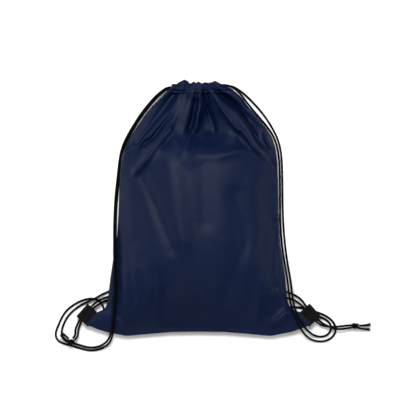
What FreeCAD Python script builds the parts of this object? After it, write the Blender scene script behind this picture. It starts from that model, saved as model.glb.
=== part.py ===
"""Drawstring backpack, lying on its back: two sewn panels, two doubled cords, corner tabs.

The bag lies on a flat surface with its back panel down. +Z is up, away from the surface,
+Y runs from the bottom seam to the mouth and +X is to the right of the mouth. The origin
is on the surface, in the middle of the bag. All sizes are in millimetres.
"""
import FreeCAD, Part
import math
import os

V = FreeCAD.Vector

# ---- fabric and seams
CLOTH = 1.0                 # wall of both panels
SEAM_TOP = 8.8              # top of the back panel's seam allowance
SEAM_BAND = 0.8             # thickness of the sewn seam band between the panels
SEAM_WIDTH = 5.0            # width of the sewn seam band
SEAM_INSET = 1.0            # from the panels' edge to the band
LIFT_GAP = 0.3              # the front panel lifts clear of the band by this
FRONT_BASE = SEAM_TOP + SEAM_BAND + LIFT_GAP

# ---- overall sizes of the bag
HALF_WIDTH = 119.0          # from the middle line to the side edge, half way up
NECK_Y = 172.0              # where both panels meet their hems
BOTTOM_Y = -190.0           # bottom edge
BAG_HEIGHT = 60.0           # top of the filled front panel
HEM_HALF = 34.0             # half length of the gathered hems
FRONT_HEM_Z = 19.5
BACK_HEM_Z = 6.5


def rows(at_neck, below_neck, above_bottom):
    """Table of (y, value) rows: at the neck, at depths below it and at heights above the bottom."""
    upper = [(NECK_Y - depth, value) for depth, value in below_neck]
    return [(NECK_Y, at_neck)] + upper + [(BOTTOM_Y + height, value) for height, value in above_bottom]


def from_half_width(pairs):
    return [(y, HALF_WIDTH + change) for y, change in pairs]


# ---- outline: distance from the middle line to the side edge
SHOULDER = from_half_width([(22, -49), (42, -31), (62, -17), (78, -7), (96, -2), (132, -0.5)])
LOWER_SIDE = from_half_width([(190, 0), (150, 1), (115, 5), (80, 12), (42, 16)])
BODY_EDGE = rows(HEM_HALF, [(8, HEM_HALF + 18)] + SHOULDER, LOWER_SIDE)
BOTTOM_HALF = HALF_WIDTH - 11.0
FRONT_CORNER = [(BOTTOM_Y + 20, HALF_WIDTH + 15), (BOTTOM_Y + 8, HALF_WIDTH + 7), (BOTTOM_Y, BOTTOM_HALF)]
FLAP_CORNER = [(BOTTOM_Y + 35, HALF_WIDTH + 33), (BOTTOM_Y + 17, HALF_WIDTH + 50),
               (BOTTOM_Y + 10, HALF_WIDTH + 31), (BOTTOM_Y, BOTTOM_HALF)]

# ---- front panel: how far its crown lies below the bag's top, and the width of its flat edge
CROWN_DROP = rows(BAG_HEIGHT - FRONT_HEM_Z - CLOTH,
                  [(8, 37.5), (22, 33), (42, 26), (62, 19), (78, 14), (96, 10), (132, 5)],
                  [(190, 2), (150, 0), (115, 0), (80, 6), (42, 24), (20, 39),
                   (8, BAG_HEIGHT - FRONT_BASE - CLOTH - 0.7), (0, BAG_HEIGHT - FRONT_BASE - CLOTH)])
EDGE_FLAT = rows(4.0, [(22, 6), (96, 8)], [(150, 10), (115, 12), (80, 16), (42, 20), (0, 20)])
CROWN_STEPS = (0.0, 0.3, 0.55, 0.75, 0.9, 0.97)

# ---- back panel: floor height in the middle, half width of the floor and start of the flat edge
EDGE_BOTTOM = SEAM_TOP - CLOTH
FLOOR_HEIGHT = rows(BACK_HEM_Z - CLOTH / 2, [(22, 4), (47, 0)], [(22, 0), (6, EDGE_BOTTOM), (0, EDGE_BOTTOM)])
FLOOR_HALF = rows(HEM_HALF - 20, from_half_width([(42, -69), (96, -43)]),
                  from_half_width([(150, -43), (105, -71), (0, -71)]))
RIM_START = rows(HEM_HALF - 6, from_half_width([(42, -39), (96, -11)]),
                 from_half_width([(150, -9), (105, -29), (0, -29)]))
RIM_STEPS = (0.0, 0.33, 0.67, 1.0)
FLOOR_TRIM = 0.5            # cut off below the floor, which leaves it truly flat

# ---- cords
CORD_D = 3.2
CORD_R = CORD_D / 2
ARC_SHARE = 0.45            # share of the shorter run that an arc takes up
KNOT_R = 6.6
KNOT_FLAT = 5.4             # from the knot's middle to the flats where the cords go in
MEET_GAP = 0.4              # between cord pieces that move apart
LANE = 1.75                 # from the middle of a tunnel to each of its two cords

# ---- hems at the mouth
HEM_DEPTH = 18.0
HEM_THICK = 7.0
HEM_ROUND = 2.4
HEM_CHANNEL_THICK = 4.2
CORD_ROOM = 1.8             # side room of the two cords in a hem
RIGHT_CORD_Y = NECK_Y + 12.2
LEFT_CORD_Y = NECK_Y + 8.2
STITCH = (3.6, 0.8, 0.4)    # length, width and height of one hem stitch
STITCH_COUNT = 11
HEM_STITCH_Y = NECK_Y + 2.9

# ---- corner tabs
TAB_SEAT = (HALF_WIDTH + 42.24, BOTTOM_Y + 26.56)  # middle of the tab's inner side, off the flap's edge
TAB_ALONG = (0.66, -0.7513)  # unit direction in which the cords run through the right tab
TAB_LENGTH = 25.0
TAB_WIDTH = 18.0
TAB_CENTRE = (TAB_SEAT[0] - TAB_ALONG[1] * TAB_WIDTH / 2, TAB_SEAT[1] + TAB_ALONG[0] * TAB_WIDTH / 2)
TAB_THICK = 7.4
TAB_Z = 8.0
TAB_ROUND = 2.0
TUNNEL_WIDTH = 9.0
TUNNEL_THICK = 4.2
TAIL_WIDTH = 6.0            # sewn tail of the tab, on top of the corner flap
TAIL_THICK = 1.2
TAIL_STITCH = (20.0, 0.8, 0.4)
TAIL_STITCH_GAP = 3.0
BARTACK = (2.0, 8.0, SEAM_BAND)
SIDE_SEAM_TOP = NECK_Y - 20.0
BARTACK_Y = SIDE_SEAM_TOP + 5.0

# ---- cord routes between the hem and the tab, and between the tab and the knot
LEFT_FRONT_RUN = [
    (-45, 180, 19.3), (-55.5, 175, 17.5), (-66, 166, 14.5), (-77.5, 153, 10.5), (-88.5, 139, 7.2),
    (-98.2, 123.5, 5.2), (-107, 108.5, 4.4), (-114.6, 92.5, 4.1), (-118.6, 74, 4.1), (-121.4, 48, 4.1),
    (-124.9, 16, 4.1), (-126.3, -18, 7.2), (-126.2, -44, 14.2), (-126, -66, 17.6), (-125.6, -92, 16.8),
    (-124.9, -118, 16.4), (-125.7, -142, 16.6), (-127.2, -161, 17.2), (-129.2, -177, 16.8),
    (-132, -190, 13.2), (-136.4, -198, 9), (-143.6, -204, 5), (-153, -207.8, 2.2), (-164, -208.6, 1.6),
    (-177, -205.2, 1.6), (-189.5, -201.4, 1.6), (-199, -199.2, 1.6), (-205, -192.8, 1.6),
    (-205.6, -183.5, 1.6), (-202.6, -173.5, 1.6), (-197.6, -163.5, 1.6), (-190, -154.6, 1.6),
    (-181, -147.4, 1.6), (-171.6, -141.8, 2.0), (-161.6, -137.9, 5.9), (-153.2, -133.6, 5.9),
    (-144.5, -128.4, 3.4), (-134.5, -124, 1.6), (-121, -118.4, 1.6), (-106.5, -113.6, 1.6),
    (-94, -117.6, 1.6), (-89.5, -128, 1.6), (-96.5, -136.6, 1.6), (-108.5, -137, 1.6),
    (-120.5, -132.8, 1.6), (-132, -131.2, 2.4), (-143.5, -134.4, 5.4), (-153.4, -140, 7.4)]
LEFT_BACK_RUN = [
    (-45, 179.4, 6.3), (-55, 173.8, 5.4), (-64.6, 164.6, 4), (-75, 152, 2.8), (-86, 138, 1.9),
    (-95.8, 122.5, 1.6), (-104.6, 107.5, 1.6), (-112.2, 92, 1.6), (-116.2, 73.5, 1.6),
    (-119, 47, 1.6), (-122.6, 15, 1.6), (-124, -18, 4.6), (-123.9, -44, 11.6), (-123.7, -66, 15),
    (-123.3, -92, 14.2), (-122.6, -118, 13.8), (-123.4, -142, 14), (-124.8, -161, 14.6),
    (-126.6, -177, 14.2), (-129, -191.5, 10.8), (-133.4, -201, 6.6), (-141.2, -208, 3.2),
    (-151.5, -212, 1.7), (-163.5, -213, 1.6), (-177, -209.8, 1.6), (-190.5, -205.6, 1.6),
    (-203, -202.6, 1.6), (-212.6, -197, 1.6), (-215, -187, 1.6), (-211, -176.5, 1.6),
    (-206, -164.5, 1.6), (-198.6, -153, 1.6), (-187.5, -144, 1.6), (-175, -137.6, 1.6),
    (-162.5, -134.4, 1.6), (-151.5, -136.4, 1.6), (-144, -143.6, 1.6), (-141.4, -153.5, 1.6),
    (-137, -163.5, 1.6), (-126.5, -167.6, 1.6), (-115.6, -162.4, 1.6), (-110.6, -151.5, 1.6),
    (-114, -141.4, 1.6), (-122.8, -136.4, 1.6), (-133, -136.2, 2.6), (-142.8, -139.6, 5.6),
    (-151.2, -144.6, 7.4)]
RIGHT_FRONT_RUN = [
    (45, 184, 19.2), (55, 178.5, 17.6), (64.6, 168.2, 14.8), (74.4, 155.4, 11), (85, 143, 7.6),
    (95, 131.6, 5), (105, 119.5, 3.2), (113.4, 106, 2), (118.4, 90.5, 1.6), (121, 70, 1.6),
    (121.9, 40, 1.6), (121.9, 6, 1.6), (122.6, -28, 1.6), (125, -58, 2), (128.8, -82, 5.4),
    (132.4, -104, 10.6), (134.4, -123, 14.2), (136.4, -139, 15), (140.4, -153, 15.2),
    (146, -166, 15.2), (151.6, -178.5, 12.6), (158.2, -188, 8.2), (167, -195.6, 4),
    (178, -199.4, 1.8), (191, -198.8, 1.6), (202, -192, 1.6), (206.4, -181.4, 1.6),
    (202.6, -170.4, 1.6), (192.8, -161.8, 1.6), (179.5, -156, 1.6), (165, -151.4, 1.6),
    (149.5, -147.6, 1.6), (133, -148.4, 1.6), (118.5, -152.2, 1.6), (107, -148.4, 1.6),
    (103.4, -138.6, 1.6), (110.4, -131.6, 1.6), (122.4, -132, 1.6), (134.4, -134.2, 2.4),
    (144, -137, 5), (151.8, -142.6, 7.4)]
RIGHT_BACK_RUN = [
    (46, 184.6, 6.2), (58, 179.5, 5), (71, 169.6, 3.6), (85, 155.4, 2.4), (98.6, 139.2, 1.7),
    (110, 121.8, 1.6), (118.4, 105, 1.6), (123.2, 87, 1.6), (125, 65, 1.6), (125.6, 34, 1.6),
    (125.8, -2, 1.6), (127.4, -34, 1.6), (130.4, -64, 1.8), (134, -88, 4.6), (137.4, -108, 9.6),
    (139.4, -126, 13.4), (141.4, -141.5, 14.6), (145.6, -155, 14.8), (151.6, -167, 14.8),
    (158.4, -177.6, 12), (165.8, -185.4, 7.4), (174.6, -190.8, 3.2), (184.6, -192.6, 1.6),
    (194.2, -189.2, 1.6), (199.2, -180.4, 1.6), (196.4, -170.6, 1.6), (187, -164, 1.6),
    (174, -160, 1.6), (159.5, -157, 1.6), (144, -155.8, 1.6), (129, -158.4, 1.6),
    (113.5, -161.6, 1.6), (99, -157.6, 1.6), (92.4, -145.6, 1.6), (94, -131.6, 1.6),
    (103.6, -122.4, 1.6), (117, -120.4, 1.6), (130, -124.2, 1.8), (142.4, -128.6, 3.6),
    (153.4, -135.4, 6.4)]
LEFT_TAIL_RUNS = [
    [(-181.4, -173.2, 8.2), (-184.8, -181.2, 8.6), (-183.8, -189.2, 9.2)],
    [(-178.2, -175.4, 8), (-180.4, -183.4, 8.4), (-180.2, -191.4, 9.2)]]
RIGHT_TAIL_RUNS = [
    [(184.6, -171.4, 9.4), (194.2, -176.4, 10.4), (205.2, -180.4, 9.2), (217, -180.2, 7.4)],
    [(181.2, -173.8, 6.6), (192, -176.9, 5.8), (204.4, -177.2, 5.7), (216.6, -175.8, 6.2)]]
LEFT_KNOT = (-191.4, -199.5, 10.2)
RIGHT_KNOT = (234.5, -175.7, 6.6)
LEFT_KNOT_IN = (0.75, 0.6614, 0)        # directions from the knot's middle to its flats
LEFT_KNOT_OUT = (-0.75, 0.6614, 0)
RIGHT_KNOT_IN = (-0.995, -0.0999, 0)
RIGHT_KNOT_OUT = (0.97, -0.2431, 0)
LEFT_END_RUNS = [[(-198.5, -190.7, 9.6), (-202.7, -187.7, 8.4)],
                 [(-201.5, -193.7, 9.2), (-205.5, -190.1, 7.8)]]
RIGHT_END_RUNS = [[(248, -175.4, 5), (256, -173.8, 3.4)],
                  [(247.2, -180.8, 4.8), (255.2, -181, 3.2)]]
TURN_REACH = (4.8, 8.6)     # how far past the hem a cord goes before and at its turn
TURN_RISE = 0.5


def at(table, y):
    """Value of a (y, value) table at y, along straight lines between its rows."""
    rows = sorted(table)
    for (y0, v0), (y1, v1) in zip(rows, rows[1:]):
        if y0 <= y <= y1:
            return v0 + (v1 - v0) * (y - y0) / (y1 - y0)
    raise ValueError(f"no value at {y}")


def loft(sections):
    """Closed solid through polygons that lie across the bag, one at each y."""
    wires = [Part.makePolygon([V(x, y, z) for x, z in outline + outline[:1]])
             for y, outline in sections]
    return Part.makeLoft(wires, True, True)


def mirrored(points):
    """Points (x, z) from the middle line to the right edge, with their mirror image before them."""
    return [(-x, z) for x, z in reversed(points) if x > 0] + points


def wall(upper, lower):
    """Closed outline of a wall between two lines of points."""
    return mirrored(upper) + list(reversed(mirrored(lower)))


def front_section(y, edge):
    """The front panel's wall at y: a crown over the middle and a flat edge at each side."""
    inner = edge - at(EDGE_FLAT, y)
    rise = BAG_HEIGHT - at(CROWN_DROP, y) - CLOTH - FRONT_BASE
    upper, lower = [], []
    for share in CROWN_STEPS:
        height = FRONT_BASE + rise * (1 - share ** 2.6) ** 0.8
        upper.append((inner * share, height + CLOTH))
        lower.append(((inner - CLOTH) * share, height))
    upper += [(inner, FRONT_BASE + CLOTH), (edge, FRONT_BASE + CLOTH)]
    lower += [(inner - CLOTH, FRONT_BASE), (edge, FRONT_BASE)]
    return y, wall(upper, lower)


def back_section(y, edge):
    """The back panel's wall at y: a flat floor that slopes up to a flat edge at each side."""
    floor, low = at(FLOOR_HALF, y), at(FLOOR_HEIGHT, y)
    bottom = low - FLOOR_TRIM if low == 0 else low
    run = at(RIM_START, y) - floor
    rise = EDGE_BOTTOM - low
    upper, lower = [(0, low + CLOTH)], [(0, bottom)]
    for step in RIM_STEPS:
        height = low + rise * (3 * step ** 2 - 2 * step ** 3)
        upper.append((floor + run * step, height + CLOTH))
        lower.append((floor + run * step, bottom if step == 0 else height))
    upper.append((edge, SEAM_TOP))
    lower.append((edge, EDGE_BOTTOM))
    return y, wall(upper, lower)


def front_panel():
    return loft([front_section(y, edge) for y, edge in BODY_EDGE + FRONT_CORNER])


def back_panel():
    """Back panel with the two corner flaps, trimmed flat where it rests on the surface."""
    panel = loft([back_section(y, edge) for y, edge in BODY_EDGE + FLAP_CORNER])
    below = Part.makeBox(600, 600, 10, V(-300, -300, -10))
    return panel.cut(below)


def side_seam(side):
    """Sewn band along one side, on top of the back panel's edge."""
    rows = [SIDE_SEAM_TOP] + [y for y, _ in BODY_EDGE if y < SIDE_SEAM_TOP]
    outer = [V(side * (at(BODY_EDGE, y) - SEAM_INSET), y, SEAM_TOP) for y in rows]
    inner = [V(side * (at(BODY_EDGE, y) - SEAM_INSET - SEAM_WIDTH), y, SEAM_TOP) for y in reversed(rows)]
    outline = Part.makePolygon(outer + inner + outer[:1])
    return Part.Face(outline).extrude(V(0, 0, SEAM_BAND))


def bottom_seam():
    half = BOTTOM_HALF - SEAM_INSET
    corner = V(-half, BOTTOM_Y + SEAM_INSET, SEAM_TOP)
    return Part.makeBox(2 * half, SEAM_WIDTH, SEAM_BAND, corner)


def bartack(side):
    """Dense tack that ends a side seam below the neck."""
    x = at(BODY_EDGE, BARTACK_Y) - SEAM_INSET - SEAM_WIDTH
    corner = V(side * x - BARTACK[0] / 2, BARTACK_Y - BARTACK[1] / 2, SEAM_TOP)
    return Part.makeBox(*BARTACK, corner)


def rounded_bar(length, depth, thick, radius):
    """Bar along X, centred on the origin, with its four long edges rounded."""
    bar = Part.makeBox(length, depth, thick, V(-length / 2, -depth / 2, -thick / 2))
    along_x = [edge for edge in bar.Edges
               if edge.tangentAt(edge.FirstParameter).cross(V(1, 0, 0)).Length < 1e-6]
    return bar.makeFillet(radius, along_x)


def hem(z):
    """Gathered hem: a flat sleeve along the mouth, open at both ends for the two cords."""
    sleeve = rounded_bar(2 * HEM_HALF, HEM_DEPTH, HEM_THICK, HEM_ROUND)
    sleeve.translate(V(0, NECK_Y + HEM_DEPTH / 2, z))
    low = LEFT_CORD_Y - CORD_R - CORD_ROOM / 2
    width = RIGHT_CORD_Y - LEFT_CORD_Y + CORD_D + CORD_ROOM
    channel = Part.makeBox(2 * HEM_HALF + 2, width, HEM_CHANNEL_THICK,
                           V(-HEM_HALF - 1, low, z - HEM_CHANNEL_THICK / 2))
    return sleeve.cut(channel)


def hem_stitching(face_z, up):
    """Row of stitches on the outer face of a hem."""
    length, width, height = STITCH
    pitch = 2 * HEM_HALF / STITCH_COUNT
    low = face_z if up > 0 else face_z - height
    return Part.makeCompound([
        Part.makeBox(length, width, height,
                     V(-HEM_HALF + (i + 0.5) * pitch - length / 2, HEM_STITCH_Y - width / 2, low))
        for i in range(STITCH_COUNT)])


def tab_place(side):
    """Placement of a tab: its X axis runs with the cords and its Y axis away from the bag."""
    along = V(side * TAB_ALONG[0], TAB_ALONG[1], 0)
    away = V(side * -TAB_ALONG[1], TAB_ALONG[0], 0)
    matrix = FreeCAD.Matrix(along.x, away.x, 0, side * TAB_CENTRE[0],
                            along.y, away.y, 0, TAB_CENTRE[1],
                            0, 0, 1, TAB_Z)
    return matrix


def placed(shape, matrix):
    return shape.transformGeometry(matrix) if matrix.determinant() < 0 else shape.transformed(matrix)


def corner_tab(side):
    """Folded webbing: a sleeve for the cords, and a tail sewn on top of the corner flap."""
    sleeve = rounded_bar(TAB_LENGTH, TAB_WIDTH, TAB_THICK, TAB_ROUND)
    tunnel = Part.makeBox(TAB_LENGTH + 2, TUNNEL_WIDTH, TUNNEL_THICK,
                          V(-TAB_LENGTH / 2 - 1, -TUNNEL_WIDTH / 2, -TUNNEL_THICK / 2))
    root = TAB_ROUND                    # the tail starts this far inside the sleeve
    tail = Part.makeBox(TAB_LENGTH, TAIL_WIDTH + root, TAIL_THICK,
                        V(-TAB_LENGTH / 2, -TAB_WIDTH / 2 - TAIL_WIDTH, SEAM_TOP - TAB_Z))
    return placed(sleeve.cut(tunnel).fuse(tail), tab_place(side))


def tab_stitching(side):
    """Two rows of stitches through the tab's tail."""
    length, width, height = TAIL_STITCH
    middle = -TAB_WIDTH / 2 - TAIL_WIDTH / 2
    top = SEAM_TOP - TAB_Z + TAIL_THICK
    rows = [Part.makeBox(length, width, height, V(-length / 2, middle + shift - width / 2, top))
            for shift in (-TAIL_STITCH_GAP / 2, TAIL_STITCH_GAP / 2)]
    return placed(Part.makeCompound(rows), tab_place(side))


def lane(side, shift):
    """Points of a cord through a tab, from its entry to its exit, with a slight bow."""
    matrix = tab_place(side)
    bow = math.copysign(0.25, shift)
    return [tuple(matrix.multVec(V(x, shift + dy, 0)))
            for x, dy in ((-TAB_LENGTH / 2, 0), (0, bow), (TAB_LENGTH / 2, 0))]


def cord_wire(points):
    """Straight runs joined by tangent arcs, and the smallest arc's radius."""
    nodes = [V(*p) for p in points]
    edges, radii, start = [], [], nodes[0]
    for before, corner, after in zip(nodes, nodes[1:], nodes[2:]):
        into = (corner - before).normalize()
        out = (after - corner).normalize()
        reach = ARC_SHARE * min((corner - before).Length, (after - corner).Length)
        first, last = corner - into * reach, corner + out * reach
        half_turn = into.getAngle(out) / 2
        radii.append(reach / math.tan(half_turn))
        bisector = (out - into).normalize()
        sagitta = radii[-1] / math.cos(half_turn) - radii[-1]
        edges += [Part.LineSegment(start, first).toShape(),
                  Part.Arc(first, corner + bisector * sagitta, last).toShape()]
        start = last
    edges.append(Part.LineSegment(start, nodes[-1]).toShape())
    return Part.Wire(edges), min(radii) if radii else 0


def cord_tube(points):
    """Round cord along a route of points."""
    wire, radius = cord_wire(points)
    heading = V(*points[1]) - V(*points[0])
    disc = Part.Wire(Part.makeCircle(CORD_R, V(*points[0]), heading))
    tube = wire.makePipeShell([disc], True, False)
    ratio = tube.Volume / (math.pi * CORD_R ** 2 * wire.Length)
    print(f"  cord {wire.Length:.0f} long, smallest radius {radius:.1f}, volume ratio {ratio:.3f}")
    return tube


def hem_exit(side, z, y):
    return side * HEM_HALF, y, z


def strand(side, y, z, run, shift):
    """Cord from the end of a hem, along the side and its loop, and through the tab."""
    return cord_tube([hem_exit(side, z, y)] + run + lane(side, shift))


def cord_in_hem(y, z):
    """Cord inside a hem, a gap short of the strand and the turn that go on from it."""
    half = HEM_HALF - MEET_GAP
    return Part.makeCylinder(CORD_R, 2 * half, V(-half, y, z), V(1, 0, 0))


def cord_turn(side, y):
    """Tight turn of a cord from the front hem to the back hem, round the mouth's side seam."""
    near, far = HEM_HALF + TURN_REACH[0], HEM_HALF + TURN_REACH[1]
    drop = (FRONT_HEM_Z - BACK_HEM_Z) / 4
    half = [(HEM_HALF, FRONT_HEM_Z), (near, FRONT_HEM_Z + TURN_RISE), (far, FRONT_HEM_Z - drop)]
    low = [(far, BACK_HEM_Z + drop), (near, BACK_HEM_Z - TURN_RISE), (HEM_HALF, BACK_HEM_Z)]
    return cord_tube([(side * x, y, z) for x, z in half + low])


def flat_points(centre, direction, gap=0.0):
    """The two points where a pair of cords meets a flat of a knot, or stops a gap before it."""
    normal = V(*direction)
    across = V(-normal.y, normal.x, 0)
    middle = V(*centre) + normal * (KNOT_FLAT + gap)
    return [tuple(middle + across * shift) for shift in (LANE, -LANE)]


def knot(centre, *directions):
    """Overhand knot, as a ball with a flat where each pair of cords goes in."""
    ball = Part.makeSphere(KNOT_R, V(*centre))
    for direction in directions:
        normal = V(*direction)
        outside = Part.makeCylinder(2 * KNOT_R, KNOT_R, V(*centre) + normal * KNOT_FLAT, normal)
        ball = ball.cut(outside)
    return ball


def tails(side, runs, centre, direction):
    """The two cords from a tab's exit to its knot."""
    stops = flat_points(centre, direction, MEET_GAP)
    return Part.makeCompound([cord_tube([lane(side, shift)[-1]] + run + [stop])
                              for shift, run, stop in zip((LANE, -LANE), runs, stops)])


def ends(runs, centre, direction, order):
    """The two loose ends beyond a knot; order is -1 where the far one is listed first."""
    starts = flat_points(centre, direction)[::order]
    return Part.makeCompound([cord_tube([start] + run) for start, run in zip(starts, runs)])


def parts():
    """Every node of the backpack, by name."""
    nodes = {"front_panel": front_panel(), "back_panel": back_panel(),
             "front_hem": hem(FRONT_HEM_Z), "back_hem": hem(BACK_HEM_Z),
             "front_hem_stitching": hem_stitching(FRONT_HEM_Z + HEM_THICK / 2, 1),
             "back_hem_stitching": hem_stitching(BACK_HEM_Z - HEM_THICK / 2, -1),
             "bottom_seam": bottom_seam()}
    for name, side in (("left", -1), ("right", 1)):
        nodes[f"{name}_side_seam"] = side_seam(side)
        nodes[f"{name}_seam_bartack"] = bartack(side)
        nodes[f"{name}_corner_tab"] = corner_tab(side)
        nodes[f"{name}_tab_stitching"] = tab_stitching(side)
    for name, y, side in (("left", LEFT_CORD_Y, -1), ("right", RIGHT_CORD_Y, 1)):
        nodes[f"{name}_cord_in_front_hem"] = cord_in_hem(y, FRONT_HEM_Z)
        nodes[f"{name}_cord_in_back_hem"] = cord_in_hem(y, BACK_HEM_Z)
        nodes[f"{name}_cord_turn"] = cord_turn(-side, y)
    nodes["left_cord_front_strand"] = strand(-1, LEFT_CORD_Y, FRONT_HEM_Z, LEFT_FRONT_RUN, LANE)
    nodes["left_cord_back_strand"] = strand(-1, LEFT_CORD_Y, BACK_HEM_Z, LEFT_BACK_RUN, -LANE)
    nodes["right_cord_front_strand"] = strand(1, RIGHT_CORD_Y, FRONT_HEM_Z, RIGHT_FRONT_RUN, -LANE)
    nodes["right_cord_back_strand"] = strand(1, RIGHT_CORD_Y, BACK_HEM_Z, RIGHT_BACK_RUN, LANE)
    nodes["left_cord_tails"] = tails(-1, LEFT_TAIL_RUNS, LEFT_KNOT, LEFT_KNOT_IN)
    nodes["right_cord_tails"] = tails(1, RIGHT_TAIL_RUNS, RIGHT_KNOT, RIGHT_KNOT_IN)
    nodes["left_knot"] = knot(LEFT_KNOT, LEFT_KNOT_IN, LEFT_KNOT_OUT)
    nodes["right_knot"] = knot(RIGHT_KNOT, RIGHT_KNOT_IN, RIGHT_KNOT_OUT)
    nodes["left_cord_ends"] = ends(LEFT_END_RUNS, LEFT_KNOT, LEFT_KNOT_OUT, -1)
    nodes["right_cord_ends"] = ends(RIGHT_END_RUNS, RIGHT_KNOT, RIGHT_KNOT_OUT, 1)
    return nodes


os.makedirs("parts", exist_ok=True)
for node, shape in parts().items():
    print(node, "valid" if shape.isValid() else "NOT VALID", f"{shape.Volume:.0f} mm3")
    shape.exportStep(f"parts/{node}.step")
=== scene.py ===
# %% [markdown]
# # A drawstring backpack, lying on its back
# The real bag is two panels of thin woven polyester, sewn at both sides and along the bottom. A hem at
# the mouth holds two cords. Each cord is doubled, runs down one side, goes through a webbing tab on the
# bottom corner and ends in a knot. This lesson builds the looks round a frame that is already there:
# the frame says where every hem, tab, cord and knot is, and which pieces move.

# %% Load the frame
import math
import bpy
import numpy as np
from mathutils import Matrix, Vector


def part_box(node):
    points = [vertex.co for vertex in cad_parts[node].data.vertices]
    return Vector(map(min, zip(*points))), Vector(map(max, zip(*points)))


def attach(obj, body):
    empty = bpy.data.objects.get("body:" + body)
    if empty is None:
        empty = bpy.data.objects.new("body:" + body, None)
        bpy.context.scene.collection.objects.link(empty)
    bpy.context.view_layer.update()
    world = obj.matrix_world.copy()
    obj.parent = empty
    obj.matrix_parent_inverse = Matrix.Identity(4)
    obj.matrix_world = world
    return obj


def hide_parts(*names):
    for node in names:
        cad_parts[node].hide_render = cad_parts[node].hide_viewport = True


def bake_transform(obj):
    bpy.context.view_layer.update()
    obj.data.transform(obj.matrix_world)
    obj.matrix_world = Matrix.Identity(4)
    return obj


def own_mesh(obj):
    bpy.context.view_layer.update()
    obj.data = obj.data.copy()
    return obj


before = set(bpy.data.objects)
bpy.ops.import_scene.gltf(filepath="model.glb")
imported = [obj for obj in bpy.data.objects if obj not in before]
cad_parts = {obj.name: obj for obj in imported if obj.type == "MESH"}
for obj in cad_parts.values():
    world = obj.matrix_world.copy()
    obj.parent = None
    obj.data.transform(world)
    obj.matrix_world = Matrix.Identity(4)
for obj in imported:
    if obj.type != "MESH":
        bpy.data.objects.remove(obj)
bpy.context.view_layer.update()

BAG, FRONT = "bag", "mouth_front"

# %% [markdown]
# ## Camera, floor and light
# The bag lies flat and is seen from straight above, so the camera looks down its own -Z axis. A long
# lens from far away keeps the sides from leaning outwards. The floor is plain and pale. One large
# soft light above the mouth end draws the folds. Three weak ones and an even white sky fill their
# shadows.

# %% Camera
CAMERA_HEIGHT = 3.0
VIEW_WIDTH = 0.624
VIEW_CENTRE = (0.0140, 0.0008)
SENSOR = 36.0

camera_data = bpy.data.cameras.new("Camera")
camera_data.sensor_width = SENSOR
camera_data.lens = SENSOR * CAMERA_HEIGHT / VIEW_WIDTH
camera = bpy.data.objects.new("Camera", camera_data)
camera.location = (*VIEW_CENTRE, CAMERA_HEIGHT)
bpy.context.collection.objects.link(camera)
bpy.context.scene.camera = camera
bpy.context.scene.view_settings.view_transform = "Standard"
print(f"lens {camera_data.lens:.0f} mm")

# %% Light
def soft_light(name, place, size, watts):
    """Square soft light that points at the middle of the bag."""
    data = bpy.data.lights.new(name, "AREA")
    data.energy, data.size = watts, size
    lamp = bpy.data.objects.new(name, data)
    lamp.location = place
    lamp.rotation_euler = (-Vector(place)).to_track_quat("-Z", "Y").to_euler()
    bpy.context.collection.objects.link(lamp)


SKY_STRENGTH = 0.25
soft_light("Key light", (-0.15, 0.75, 1.55), 0.7, 34)
soft_light("Left light", (-1.2, 0.0, 0.55), 0.6, 5)
soft_light("Right light", (1.2, 0.0, 0.55), 0.6, 4)
soft_light("Foot light", (0.0, -1.1, 1.2), 0.7, 5)
sky = bpy.data.worlds.new("Sky")
sky.use_nodes = True
sky.node_tree.nodes["Background"].inputs["Color"].default_value = (1.0, 1.0, 1.0, 1.0)
sky.node_tree.nodes["Background"].inputs["Strength"].default_value = SKY_STRENGTH
bpy.context.scene.world = sky

# %% [markdown]
# ## Small helpers for meshes
# Nearly every piece here is a sheet or a tube, and both are grids of points. A helper that joins a
# grid into faces, and can close it into a ring, is all the mesh code that they need. A grid also
# gives each point a place on the flat cloth or along the cord, which is kept as a UV map: the weave
# and the braid follow it, wherever the piece bends.

# %% Grids
def grid_faces(rows, columns, ring=False):
    """Faces of a grid of points; a ring joins the last column to the first."""
    index = np.arange(rows * columns).reshape(rows, columns)
    if ring:
        index = np.column_stack([index, index[:, 0]])
    corners = (index[:-1, :-1], index[:-1, 1:], index[1:, 1:], index[1:, :-1])
    return np.stack([c.ravel() for c in corners], axis=1)


def new_piece(name, points, faces, material=None):
    """Smooth-shaded mesh object."""
    mesh = bpy.data.meshes.new(name)
    places = np.asarray(points, float).reshape(-1, 3).tolist()
    mesh.from_pydata(places, [], [list(map(int, face)) for face in faces])
    mesh.shade_smooth()
    piece = bpy.data.objects.new(name, mesh)
    bpy.context.collection.objects.link(piece)
    if material:
        mesh.materials.append(material)
    return piece


def lay_map(piece, places):
    """Keeps each point's place on the flat cloth, or round and along a cord, as the UV map Lay."""
    layer = piece.data.uv_layers.new(name="Lay")
    points = np.array([loop.vertex_index for loop in piece.data.loops])
    flat = np.asarray(places, float).reshape(-1, 2)[points]
    layer.data.foreach_set("uv", flat.astype(np.float32).ravel())


def apply_all(piece):
    """Replaces the piece's mesh with what its modifiers make of it."""
    graph = bpy.context.evaluated_depsgraph_get()
    made = bpy.data.meshes.new_from_object(piece.evaluated_get(graph), preserve_all_data_layers=True,
                                           depsgraph=graph)
    piece.modifiers.clear()
    piece.shape_key_clear()
    piece.data = made
    made.shade_smooth()
    return piece


def thicken(piece, thickness, levels=0, offset=-1.0):
    """Rounds a sheet by subdivision and gives it two faces and an edge."""
    if levels:
        smooth = piece.modifiers.new("Round", "SUBSURF")
        smooth.levels = smooth.render_levels = levels
    shell = piece.modifiers.new("Thickness", "SOLIDIFY")
    shell.thickness, shell.offset = thickness, offset
    return apply_all(piece)


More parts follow.
